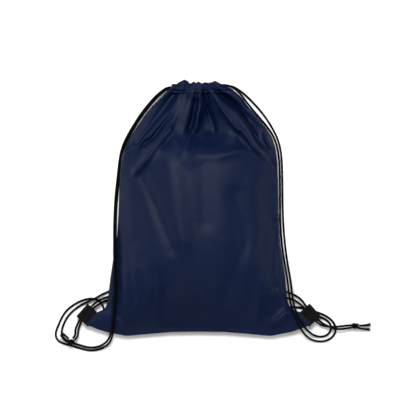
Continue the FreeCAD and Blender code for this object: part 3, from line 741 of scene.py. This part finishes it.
print(f"edge from hem to corner {EDGE_LENGTH:.0f} mm")

# %% [markdown]
# ## Folds that the drawn cord makes
# A gathered mouth throws the spare cloth into folds that fan out from it. Cloth left to itself finds
# folds, but not these, so the sheet starts with a hint of every one: a line on the bag, a height and
# a width. The simulation then turns the hints into cloth, because the flat pattern is wider than the
# space at the mouth and the spare width has to go somewhere.

# %% Fold hints: points, height and width in millimetres
FOLDS = [
    ([(-23, 182), (-74, 128), (-106, 88)], -4, 7), ([(-43, 160), (-80, 118), (-112, 80)], 3, 7),
    ([(-13, 181), (-38, 148), (-64, 112), (-79, 88)], -6, 8),
    ([(-13, 182), (-29, 158), (-58, 104), (-79, 71), (-94, 56)], 5, 6),
    ([(-44, 119), (-38, 104), (-23, 80), (-13, 71)], 2.5, 6), ([(-5, 187), (-4, 166)], 5, 7),
    ([(8, 181), (8, 169)], -3, 4), ([(5, 160), (8, 142), (14, 124)], -3, 10),
    ([(12, 182), (30, 154), (51, 130), (72, 109), (96, 76)], 6, 6),
    ([(18, 182), (45, 155), (66, 133)], -5, 5), ([(33, 181), (62, 160), (101, 122), (107, 97)], 4, 6),
    ([(-22, 77), (-1, 76), (30, 77), (72, 86)], 3, 6), ([(-10, 112), (-20, 86)], 2.5, 6),
    ([(95, 76), (110, 60)], -5, 8), ([(-2, 178), (-6, 150), (-16, 118)], -6, 4.5),
    ([(3, 172), (2, 150), (-4, 120)], 4.5, 4.5), ([(12, 172), (15, 146), (22, 118)], -5, 4),
    ([(20, 178), (34, 152), (58, 118)], 3.5, 4.5), ([(-26, 176), (-44, 146), (-72, 106)], 4, 5),
    ([(-30, 178), (-58, 142), (-90, 96)], -4, 5), ([(30, 176), (56, 144), (86, 104)], -4, 5),
    ([(-116, -60), (-114, -167)], -4, 5), ([(108, -20), (112, -120)], -3, 5),
    ([(110, -175), (137, -149)], 3, 5)]
SOFT_FOLDS = [
    ([(-40, 62), (-33, 0), (-27, -50)], 3.6, 15), ([(-88, 60), (-64, 5), (-38, -60)], -3.6, 9),
    ([(84, 40), (90, -20), (80, -80)], 3.0, 13), ([(52, 20), (68, -50), (40, -130)], -3.2, 11),
    ([(-92, -88), (-78, -128), (-98, -165)], 3.6, 10), ([(-60, -100), (-66, -175)], -3.0, 8),
    ([(0, -120), (30, -178)], 2.6, 12), ([(96, -110), (84, -176)], 3.0, 8),
    ([(6, 66), (10, -20)], -2.4, 12), ([(100, 30), (104, -90)], -2.4, 7),
    ([(-104, 40), (-100, -40)], 2.4, 7)]
HOLLOW_PLACE, HOLLOW_SIZE, HOLLOW_DEPTH = (12, 112), (25, 30), 19.0
HOLLOW_BEFORE, HOLLOW_AFTER = 0.4, 0.5  # shares of the hollow before and after the simulation
FOLD_GAIN = 1.8
FADE_SIDE, FADE_FOOT, FADE_START = 0.06, 20.0, -186.0   # the hints fade out towards the sewn edge
CROWN = [(172, 22.5), (164, 23.5), (150, 27), (130, 34), (110, 41), (94, 46), (76, 50), (40, 55), (0, 58),
         (-40, 60), (-75, 60), (-110, 54), (-148, 36), (-170, 21), (-182, 11.6), (-190, 10.9)]
DOME_FLAT, DOME_ROUND = 2.6, 0.9        # powers that shape the cross section of the filled bag


def distance_to(line, x, y):
    """Distance from every grid point to a line of corners."""
    nearest = np.full(x.shape, np.inf)
    for (x0, y0), (x1, y1) in zip(line, line[1:]):
        dx, dy = x1 - x0, y1 - y0
        share = np.clip(((x - x0) * dx + (y - y0) * dy) / (dx * dx + dy * dy), 0, 1)
        nearest = np.minimum(nearest, np.hypot(x - x0 - share * dx, y - y0 - share * dy))
    return nearest


def ridges(folds):
    """Height of a set of folds all over the grid."""
    return sum(height * np.exp(-(distance_to(line, X, Y) / width) ** 2) for line, height, width in folds)


dome = (1 - np.abs(ACROSS) ** DOME_FLAT) ** DOME_ROUND
front_edge_z = EDGE_Z + (SLIT_TOP_Z - EDGE_Z) * ease(Y, SLIT_Y, Y.max())
crown = smooth_at(CROWN, Y)
hints, soft = ridges(FOLDS), ridges(SOFT_FOLDS)
away = [(grid - place) / size for grid, place, size in zip((X, Y), HOLLOW_PLACE, HOLLOW_SIZE)]
hollow = HOLLOW_DEPTH * np.exp(-(away[0] ** 2 + away[1] ** 2) ** 1.5)
inside = np.clip((1 - np.abs(ACROSS)) / FADE_SIDE, 0, 1) * np.clip((Y - FADE_START) / FADE_FOOT, 0, 1)
front_start = front_edge_z + (crown - front_edge_z) * dome
front_start = front_start + (FOLD_GAIN * hints - HOLLOW_BEFORE * hollow) * inside

# %% Flat pattern
SPARE = 1.2                 # how much wider the cut is at the mouth than a cut without spare cloth
# Rows of y, half width without spare cloth, and the share of the spare that is added there
NECK_HALF = [(172, 82, 1.0), (150, 102, 0.8), (130, 114, 0.6), (110, 122, 0.4), (94, 128, 0.2)]
PATTERN_HALF = [(y, half * (1 + gain * (SPARE - 1))) for y, half, gain in NECK_HALF]
PATTERN_HALF += [(60, 133), (0, 136), (-75, 138), (-120, 141), (-150, 150), (-190, 170)]
TOP_CURVE = 6.0             # the pattern's top dips this much in the middle
rise = np.linspace(0, 1, ROWS + 1)[:, None]
flat_x = ACROSS * at(PATTERN_HALF, BOTTOM_Y + rise * (MOUTH_Y - BOTTOM_Y))
flat_y = BOTTOM_Y + rise * EDGE_LENGTH - TOP_CURVE * (1 - ACROSS ** 2) * rise
PATTERN = np.stack([flat_x, flat_y], axis=-1) * MM


# %% [markdown]
# ## Cloth simulation
# The sheet remembers its flat size in a shape key, and its sewn edge is pinned. Air pressure stands in
# for the soft things in the bag, and a smooth solid inside keeps the cloth from sinking too far.
# Blender's cloth is steadier on big meshes, so the bag is simulated at ten times its size.

# %% Simulate a sheet
BIG = 10.0
BENDING = 0.2
TOUCH_GAP, SELF_GAP = 0.01, 0.006       # at the simulation's big size
FILLING_WIDTH = 0.985                   # the filling is this share of the bag's width


def cloth_sheet(name, height, filling, pressure, frames):
    """Settles cloth over a filling; takes heights in millimetres and returns points in metres."""
    points = np.stack([X, Y, height], axis=-1) * MM
    sheet = new_piece(name, points * BIG, GRID)
    sheet.shape_key_add(name="Sewn")
    cut = sheet.shape_key_add(name="Cut")
    cut.value = 0
    cut.data.foreach_set("co", np.dstack([PATTERN, np.zeros(X.shape)]).ravel() * BIG)
    edge = sheet.vertex_groups.new(name="edge")
    index = np.arange(X.size).reshape(X.shape)
    edge.add(np.unique(np.r_[index[0], index[-1], index[:, 0], index[:, -1]]).tolist(), 1.0, "REPLACE")
    modifier = sheet.modifiers.new("Cloth", "CLOTH")
    cloth, touch = modifier.settings, modifier.collision_settings
    cloth.quality, cloth.mass, cloth.air_damping = 8, 0.15, 1
    cloth.tension_stiffness = cloth.compression_stiffness = 25
    cloth.shear_stiffness, cloth.bending_stiffness = 8, BENDING
    cloth.tension_damping = cloth.compression_damping = cloth.shear_damping = 10
    cloth.bending_damping = 1.0
    cloth.vertex_group_mass, cloth.rest_shape_key = "edge", cut
    cloth.use_pressure, cloth.uniform_pressure_force = True, pressure
    touch.distance_min, touch.use_self_collision, touch.self_distance_min = TOUCH_GAP, True, SELF_GAP
    solid = new_piece("Filling", np.stack([X * FILLING_WIDTH, Y, filling], axis=-1) * MM * BIG, GRID)
    solid.modifiers.new("Collision", "COLLISION")
    solid.collision.thickness_outer, solid.collision.cloth_friction = TOUCH_GAP, 2
    scene = bpy.context.scene
    modifier.point_cache.frame_end = scene.frame_end = frames
    for number in range(1, frames + 1):
        scene.frame_set(number)
    settled = sheet.evaluated_get(bpy.context.evaluated_depsgraph_get()).data
    found = np.array([vertex.co for vertex in settled.vertices]) / BIG
    bpy.data.objects.remove(solid)
    bpy.data.objects.remove(sheet)
    scene.frame_set(1)
    return found.reshape(ROWS + 1, COLUMNS + 1, 3)


# %% Front panel
FILLING_DROP = 5.0          # the filling stays this far below the crown
NECK_DROP, NECK_FROM, NECK_RUN = 40.0, 85, 60   # and it falls off towards the neck
FILLING_LOWEST = 6.0
FRONT_PRESSURE, FRONT_FRAMES = 0.3, 32
front_filling = EDGE_Z + (crown - EDGE_Z - FILLING_DROP) * dome
front_filling = front_filling - NECK_DROP * np.clip((Y - NECK_FROM) / NECK_RUN, 0, 1)
front_points = cloth_sheet("Front", front_start, np.maximum(front_filling, FILLING_LOWEST), FRONT_PRESSURE,
                           FRONT_FRAMES)
print("front panel up to", round(float(front_points[..., 2].max()) * 1000, 1), "mm")

# %% [markdown]
# ## Where cloth and cord meet
# Strands that lie on the bag press a groove into it. Near such a strand the cloth is pushed down to
# just under the cord, and the push fades out over a few millimetres. The hem continues the pleats of
# the panel, so the panel's last rows follow the same wave as the hem.

# %% Pleats at the mouth
PLEATS = [(-34, 0.1), (-30.5, 1.0), (-26, -0.5), (-20.5, 1.0), (-13.5, -1.0), (-8.5, 0.7), (-4, 0.45),
          (1.5, 0.8), (8, -1.0), (12.5, 1.0), (17.5, -0.8), (23.5, 0.9), (28.5, -0.6), (32.5, 0.8),
          (34, 0.2)]
PLEAT_DEPTH = 2.0
PLEAT_HALF = 34.0           # half of the gathered edge that the pleats are given on
PLEAT_START = 160.0         # the pleats grow from here to the mouth


def pleat(x):
    """Height of the pleats, from -1 in a valley to 1 on a ridge, at x along the gathered edge."""
    places, heights = zip(*PLEATS)
    at_x = np.clip(x, places[0], places[-1])
    before = np.clip(np.searchsorted(places, at_x, "right") - 1, 0, len(places) - 2)
    places, heights = np.array(places), np.array(heights)
    share = (at_x - places[before]) / (places[before + 1] - places[before])
    return heights[before] + (heights[before + 1] - heights[before]) * (1 - np.cos(math.pi * share)) / 2


def mouth_wave(points, up):
    """How far the pleats lift a panel's points near the mouth."""
    neck = ease(points[..., 1] / MM, PLEAT_START, MOUTH_Y)
    return neck * PLEAT_DEPTH * MM * pleat(up * PLEAT_HALF * ACROSS) * (1 - np.abs(ACROSS) ** 8)


def press_under(points, lines, room, width):
    """Pushes a sheet's points down under the cords that lie over it."""
    pressed = points.copy()
    for line in lines:
        over = line[line[:, 2] > EDGE_Z * MM]
        for place in over[::GROOVE_EVERY]:
            near = np.hypot(points[..., 0] - place[0], points[..., 1] - place[1]) / width
            limit = place[2] - room + np.where(near < 1, 0, 1) + GROOVE_RISE * near ** 2
            pressed[..., 2] = np.minimum(pressed[..., 2], limit)
    return pressed


def calmed(points, place, size, passes=12):
    """Smooths a sheet round one place, in millimetres."""
    calm = points.copy()
    near = np.exp(-((X - place[0]) ** 2 + (Y - place[1]) ** 2) / size ** 2)[1:-1, 1:-1]
    for _ in range(passes):
        z = calm[..., 2]
        mean = (z[:-2, 1:-1] + z[2:, 1:-1] + z[1:-1, :-2] + z[1:-1, 2:]) / 4
        z[1:-1, 1:-1] += near * (mean - z[1:-1, 1:-1])
    return calm


def soft_floor(z, floor, reach):
    """Heights kept above a floor, bent smoothly over the reach above it."""
    above = (z - floor) / reach
    lifted = floor + reach * np.where(above < 1, np.exp(np.minimum(above, 1) - 1), above)
    return np.maximum(lifted, floor)


CLOTH_THICKNESS = 0.0004
GROOVE_ROOM, GROOVE_WIDTH, GROOVE_RISE = 0.0004, 0.006, 0.004
GROOVE_EVERY = 3            # every third ring of a cord is enough to press the groove
CALM_PLACE, CALM_SIZE = (-16, 73), 13   # two hints cross here and would make a spike
FLOOR_DROP, FLOOR_REACH = 0.3, 0.004    # the front cloth stays above the sewn edge
NECK_HOLD = 0.75            # how far the hem holds the cloth up just below it
AFTER_GAIN = 1.0            # share of the fold hints that is worked into the settled cloth again
HOLD_FROM, HOLD_TO = 108, 160
held_up = NECK_HOLD * ease(Y, HOLD_FROM, HOLD_TO)
front_points[..., 2] += held_up * (front_start * MM - front_points[..., 2])
front_points[..., 2] += (AFTER_GAIN * hints * (1 - held_up) + soft - HOLLOW_AFTER * hollow) * inside * MM
front_points = calmed(front_points, CALM_PLACE, CALM_SIZE)
front_points = press_under(front_points, cord_lines, CORD_RADIUS + GROOVE_ROOM, GROOVE_WIDTH)
front_points[..., 2] = soft_floor(front_points[..., 2], (EDGE_Z - FLOOR_DROP) * MM, FLOOR_REACH)
front_points[..., 2] += mouth_wave(front_points, 1)


def panel_piece(name, points, faces, node):
    """A panel of cloth with its flat cut."""
    panel = new_piece(name, points, faces, CLOTH)
    lay_map(panel, PATTERN)
    thicken(panel, CLOTH_THICKNESS, levels=1)
    stands_for(panel, node)
    return panel


front_panel = panel_piece("front_cloth_panel", front_points, GRID, "front_panel")
lifts_with_front(front_panel)

# %% [markdown]
# ## The back panel
# The back panel lies on the floor under the filling and curls up to the sewn edge all round, over the
# loops of cord that run under it. It is the same cut as the front. Its spare width makes shallow
# wrinkles, which the same simulation finds, with the floor as the filling.

# %% Back panel
BACK_FLOOR_HALF = [(172, 14), (130, 50), (76, 76), (-40, 76), (-85, 48), (-190, 48)]
BACK_RIM = [(172, 28), (130, 80), (76, 108), (-40, 110), (-85, 90), (-190, 90)]
BACK_NECK_Z, BACK_EDGE_DROP = 6.5, 0.55
RIPPLES = [
    ([(-20, 172), (-60, 110), (-86, 70)], 2.2, 6), ([(-6, 172), (-24, 120), (-30, 60)], 2.5, 7),
    ([(9, 172), (22, 110), (44, 40)], 2.5, 7), ([(24, 172), (62, 104), (90, 52)], 2.2, 6),
    ([(-70, 30), (-40, -20), (-52, -90)], 1.6, 9), ([(58, 20), (30, -60), (48, -130)], 1.6, 9),
    ([(-140, -160), (-80, -120)], 1.6, 6), ([(140, -160), (84, -112)], 1.6, 6)]
BACK_LOWEST, BACK_SINK, BACK_RISE = 0.5, 1.4, 3.0       # the settled back stays between these
BACK_PRESSURE, BACK_FRAMES = -0.02, 14
low_end = ease(-Y, 168, 184)
curl = np.maximum(ease(np.abs(X), smooth_at(BACK_FLOOR_HALF, Y), smooth_at(BACK_RIM, Y)), low_end)
neck_rise = BACK_NECK_Z * ease(Y, 125, MOUTH_Y)
edge_height = EDGE_Z - BACK_EDGE_DROP + (BACK_NECK_Z - EDGE_Z + BACK_EDGE_DROP) * ease(Y, SLIT_Y, MOUTH_Y)
back_start = np.maximum(neck_rise, curl * edge_height)
back_start = back_start + ridges(RIPPLES) * inside * (1 - curl)
back_points = cloth_sheet("Back", back_start, back_start - 0.8, BACK_PRESSURE, BACK_FRAMES)
least = np.maximum(BACK_LOWEST * MM, np.maximum(back_start - BACK_SINK, 0.0) * MM)
back_points[..., 2] = np.clip(back_points[..., 2], least, (back_start + BACK_RISE) * MM)
back_points[..., 2] -= mouth_wave(back_points, -1)
back_panel = panel_piece("back_cloth_panel", back_points, GRID[:, ::-1], "back_panel")
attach(back_panel, BAG)
print("back panel from", round(float(back_points[..., 2].min()) * 1000, 2), "mm")

# %% [markdown]
# ## The gathered hems
# A hem is the panel's top folded back and stitched, so that it makes a sleeve for the cords. Pulled
# together it stands in tight pleats, and its top edge becomes a row of small bumps. The sleeve is one
# grid: across it runs the wave of the pleats, and round it runs the fold, from the panel's surface up
# over the cords and down again on the inside. It widens downwards, as the gathered cloth does.

# %% Hem sleeves
HEM_COLUMNS = 2 * COLUMNS
BUMPS = [(-1, -3.0), (-0.9, -0.5), (-0.66, 3.4), (-0.5, 1.5), (-0.4, -2.6), (-0.22, 0.4), (-0.1, -1.4),
         (0.0, 0.6), (0.14, -2.4), (0.28, -0.6), (0.42, -1.4), (0.6, -0.4), (0.74, 1.8), (0.88, -0.8),
         (1, -3.2)]
HEM_LEFT = [(192, 30), (187, 34), (180, 42), (172, 49)]
HEM_RIGHT = [(192, 31), (187, 35), (180, 47), (172, 58)]
HEM_TOP = 189.0
FOLD = [(MOUTH_Y, 2.8), (174.0, 3.1), (177.0, 3.5), (181.0, 3.7), (186.0, 3.6), (188.6, 2.4),
        (HEM_TOP, 0.0), (188.6, -2.2), (186.0, -3.3), (181.0, -3.5), (176.0, -3.3), (173.0, -2.8)]
FOLD_STEP = 0.9
HEM_JOIN = 178.0            # the sleeve leaves the panel's own height by here
HEM_END_DROP = 2.2          # the sleeve's ends bend down this much
HEM_FLAT_HALF = 90          # half width of the cloth in the hem before it is gathered
CRINKLE = 0.3
HEM_SWAY = 0.9              # the stitched line is never quite straight on a gathered hem


def hem_sleeve(name, node, middle_z, up, panel_top, body):
    """Pleated sleeve that goes on from a panel's top row; up is 1 for the front hem and -1 for the back."""
    section = spline_line([(0.0, y, z) for y, z in FOLD])
    section, fold_length = even(section, FOLD_STEP)
    y, z = section[:, 1][:, None], section[:, 2][:, None]
    share = np.linspace(-1, 1, HEM_COLUMNS + 1)[None, :]
    reach = np.where(share < 0, at(HEM_LEFT, y), at(HEM_RIGHT, y))
    bump = np.interp(share, *zip(*BUMPS)) * ease(y, 180, HEM_TOP)
    outer = (np.arange(len(section)) < len(section) / 2)[:, None]
    joined_up = ease(y, MOUTH_Y, HEM_JOIN)
    small = CRINKLE * (np.sin(47 * share + 0.5 * y) + 0.7 * np.sin(83 * share - 0.8 * y)) * joined_up
    height = z + PLEAT_DEPTH * pleat(PLEAT_HALF * share * up) * np.where(outer, 0.8, 0.2) + small
    height = middle_z / MM + up * (height - HEM_END_DROP * np.abs(share) ** 10 * outer)
    panel_z = np.interp(share, ACROSS[0], panel_top[:, 2] / MM)
    away = np.where(outer, joined_up, 1.0)
    height = panel_z * (1 - away) + height * away
    sway = HEM_SWAY * np.sin(5.3 * share + 0.6) * ease(y, MOUTH_Y, 176.0) * ease(-y, -188.0, -182.0)
    points = np.stack(np.broadcast_arrays(share * reach, y + bump + sway, height), axis=-1) * MM
    faces = grid_faces(len(section), HEM_COLUMNS + 1)
    sleeve = new_piece(name, points, faces[:, ::up], CLOTH)
    round_it = np.linspace(0, fold_length, len(section))[:, None]
    lay_map(sleeve, np.stack(np.broadcast_arrays(share * HEM_FLAT_HALF, round_it), axis=-1) * MM)
    thicken(sleeve, CLOTH_THICKNESS)
    stands_for(sleeve, node, body)
    stitch_y = sum(corner.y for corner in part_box(node + "_stitching")) / 2 / MM
    row = int(np.argmin(np.abs(section[:len(section) // 2, 1] - stitch_y)))
    print(f"{name}: {fold_length:.0f} mm round the fold")
    return points[row]


front_face = hem_sleeve("front_hem_sleeve", "front_hem", FRONT_HEM_Z, 1, front_points[-1], FRONT)
back_face = hem_sleeve("back_hem_sleeve", "back_hem", BACK_HEM_Z, -1, back_points[-1], BAG)

# %% [markdown]
# ## Stitches
# A stitch is a short length of thread that goes down into the cloth at both ends. One small arched
# tube is enough, and a row is a loop over places. Every seam of the bag uses the same stitch, with its
# own thread and length.

# %% Stitch helper
STITCH_RADIUS, STITCH_SINK = 0.00024, 0.0003


def stitch_row(name, node, ends, material, body, lift):
    """Row of stitches; ends is a list of (start, end, up) for each stitch."""
    made = []
    for start, end, up in ends:
        start, end, up = (np.array(place, float) for place in (start, end, up))
        line = [start - up * STITCH_SINK, start + up * lift * 0.8, (start + end) / 2 + up * lift,
                end + up * lift * 0.8, end - up * STITCH_SINK]
        made.append(tube(name, spline_line(line), STITCH_RADIUS, material, step=0.0004, sides=6)[0])
    stands_for(joined(name, made), node, body)
    print(f"{name}: {len(ends)} stitches")


# %% Hem stitching
HEM_PITCH, HEM_STITCH, HEM_LIFT = 0.0030, 0.0022, 0.0001


def hem_row(name, node, face, up, body):
    """Stitches that follow the pleats of a hem."""
    starts = np.arange(face[2, 0], face[-2, 0] - HEM_STITCH, HEM_PITCH)

    def on_face(x):
        return [x, np.interp(x, face[:, 0], face[:, 1]), np.interp(x, face[:, 0], face[:, 2])]

    ends = [(on_face(x), on_face(x + HEM_STITCH), (0, 0, up)) for x in starts]
    stitch_row(name, node, ends, NAVY_THREAD, body, HEM_LIFT)


hem_row("front_hem_stitches", "front_hem_stitching", front_face, 1, FRONT)
hem_row("back_hem_stitches", "back_hem_stitching", back_face, -1, BAG)

# %% [markdown]
# ## Seam allowances and bar tacks
# The bag is sewn inside out and turned, so its seams lie inside: a narrow double edge of cloth with an
# overlock thread zigzagging round it. Both are made as ribbons along the sewn edge, between the two
# panels. A dense bar tack ends each side seam below the slit of the mouth.

# %% Inside seams
SEAM_INSET, SEAM_WIDTH, SEAM_Z = 1.2, 4.6, 9.62
SEAM_THICKNESS, SEAM_WAVE = 0.0003, 0.12
ZIGZAG, OVERLOCK_RADIUS, OVERLOCK_LIFT = 3.0, 0.00018, 0.25


def inset_line(line, inset):
    """A line of corners (x, y), in millimetres, moved to its right-hand side."""
    ahead = np.gradient(line, axis=0)
    ahead /= np.linalg.norm(ahead, axis=1)[:, None]
    return line + np.stack([ahead[:, 1], -ahead[:, 0]], axis=1) * inset


def seam(name, node, line):
    """Ribbon of seam allowance with overlock thread; the bag's inside is on the line's right."""
    length = float(np.linalg.norm(np.diff(line, axis=0), axis=1).sum())
    steps = int(length / ZIGZAG)
    line, _ = spread(line, steps + 1)
    outer, inner = inset_line(line, SEAM_INSET), inset_line(line, SEAM_INSET + SEAM_WIDTH)
    rows = [outer * (1 - k) + inner * k for k in (0.0, 0.33, 0.67, 1.0)]
    wave = SEAM_WAVE * np.sin(np.arange(steps + 1) * 1.1)
    points = np.stack([np.column_stack([row, SEAM_Z + wave]) for row in rows]) * MM
    ribbon = new_piece(name, points, grid_faces(4, steps + 1), CLOTH)
    along = np.linspace(0, length, steps + 1)
    over = np.array([0, 1.5, 3, SEAM_WIDTH])[:, None]
    lay_map(ribbon, np.stack(np.broadcast_arrays(along[None], over), axis=-1) * MM)
    thicken(ribbon, SEAM_THICKNESS)
    both = [outer, inner]
    zigzag = np.array([[*both[k % 2][k], SEAM_Z + OVERLOCK_LIFT] for k in range(steps + 1)]) * MM
    thread = tube(name + "_overlock", zigzag, OVERLOCK_RADIUS, CLOTH, step=0.001, sides=5)[0]
    stands_for(joined(name, [ribbon, thread]), node, BAG)
    print(f"{name}: {length:.0f} mm")


SEAM_ENDS, BOTTOM_SEAM_HALF = (-140, SLIT_Y), 104
for label, edge in (("right", right_edge[::-1]), ("left", left_edge)):
    sewn = edge[(edge[:, 1] > SEAM_ENDS[0]) & (edge[:, 1] < SEAM_ENDS[1])]
    seam(f"{label}_seam_allowance", f"{label}_side_seam", sewn)
middle_bottom = bottom[np.abs(bottom[:, 0]) < BOTTOM_SEAM_HALF]
seam("bottom_seam_allowance", "bottom_seam", middle_bottom[::-1])

# %% Bar tacks
TACK_TURNS, TACK_RADIUS, TACK_LIFT = 14, 0.0002, 0.0009
for label, side in SIDES.items():
    low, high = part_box(f"{label}_seam_bartack")
    along = np.linspace(low.y, high.y, 2 * TACK_TURNS)
    line = [(low.x if k % 2 else high.x, y, low.z + TACK_LIFT) for k, y in enumerate(along)]
    tack = tube(f"{label}_bar_tack", line, TACK_RADIUS, NAVY_THREAD, step=0.0005, sides=6)[0]
    stands_for(tack, f"{label}_seam_bartack", BAG)

# %% [markdown]
# ## Corner tabs
# A tab is a strip of polyester webbing, folded round the two cords and sewn to the corner with both
# ends. Its section is a flattened loop with two tails that hold the corner of the bag between them.
# The section is swept along the way that the cords run, and the ribs of the webbing go round the loop.

# %% Webbing tabs
LOOP = [(-14.6, 3.3), (-12.0, 3.25), (-9.5, 3.1), (-7.0, 3.2), (-3.0, 3.35), (2.0, 3.3), (6.2, 2.9),
        (8.1, 1.6), (8.4, 0.0), (8.1, -1.6), (6.2, -2.9), (2.0, -3.1), (-3.0, -3.1), (-7.2, -2.7),
        (-8.9, -1.2), (-9.6, 0.4), (-12.0, 1.05), (-14.6, 1.1)]
LOOP_STEP = 0.0007
WEBBING_THICKNESS = 0.0010
RIBS, RIB_HEIGHT = 9, 0.00016
TAB_STEPS = 72


def webbing_tab(label, side):
    """Loop of webbing round the two cords."""
    section = spline_line([(0.0, y * MM, z * MM) for y, z in LOOP])
    section, loop_length = even(section, LOOP_STEP)
    across = np.gradient(section, axis=0)
    across /= np.linalg.norm(across, axis=1)[:, None]
    outward = np.stack([np.zeros(len(section)), -across[:, 2], across[:, 1]], axis=1)
    along = np.linspace(-TAB_LENGTH / 2, TAB_LENGTH / 2, TAB_STEPS + 1)
    rib = RIB_HEIGHT * np.cos(2 * math.pi * RIBS * along / TAB_LENGTH)
    points, places = [], []
    run = np.linspace(0, loop_length, len(section))
    for x, height in zip(along, rib):
        slack = 0.0003 * math.sin(90 * x) + 0.0002
        for place, out, far in zip(section, outward, run):
            y, z = place[1] + out[1] * height, place[2] + out[2] * height + slack * (place[1] > 0)
            points.append(in_tab(side, x, y, z))
            places.append((x, far))
    faces = grid_faces(TAB_STEPS + 1, len(section))
    tab = new_piece(f"{label}_webbing_tab", points, faces[:, ::side], WEBBING)
    lay_map(tab, places)
    thicken(tab, WEBBING_THICKNESS, offset=0.0)
    stands_for(tab, f"{label}_corner_tab", BAG)
    print(f"{label} tab: strip {loop_length * 1000:.0f} x {TAB_LENGTH * 1000:.0f} mm")


TAB_ROWS, TAB_STITCHES = (-0.0131, -0.0102), 8
TAB_PITCH, TAB_STITCH_HALF, TAB_LIFT = 0.0031, 0.0011, 0.0003
TAB_TOP = 0.0033 + WEBBING_THICKNESS / 2        # of the webbing, over the tunnel's middle
for label, side in SIDES.items():
    webbing_tab(label, side)
    thread_ends = []
    for row in TAB_ROWS:
        for k in range(TAB_STITCHES):
            x = (k - TAB_STITCHES / 2 + 0.5) * TAB_PITCH
            start = in_tab(side, x - TAB_STITCH_HALF, row, TAB_TOP)
            end = in_tab(side, x + TAB_STITCH_HALF, row, TAB_TOP)
            thread_ends.append((start, end, (0, 0, 1)))
    stitch_row(f"{label}_tab_stitches", f"{label}_tab_stitching", thread_ends, BLACK_THREAD,
               BAG, TAB_LIFT)
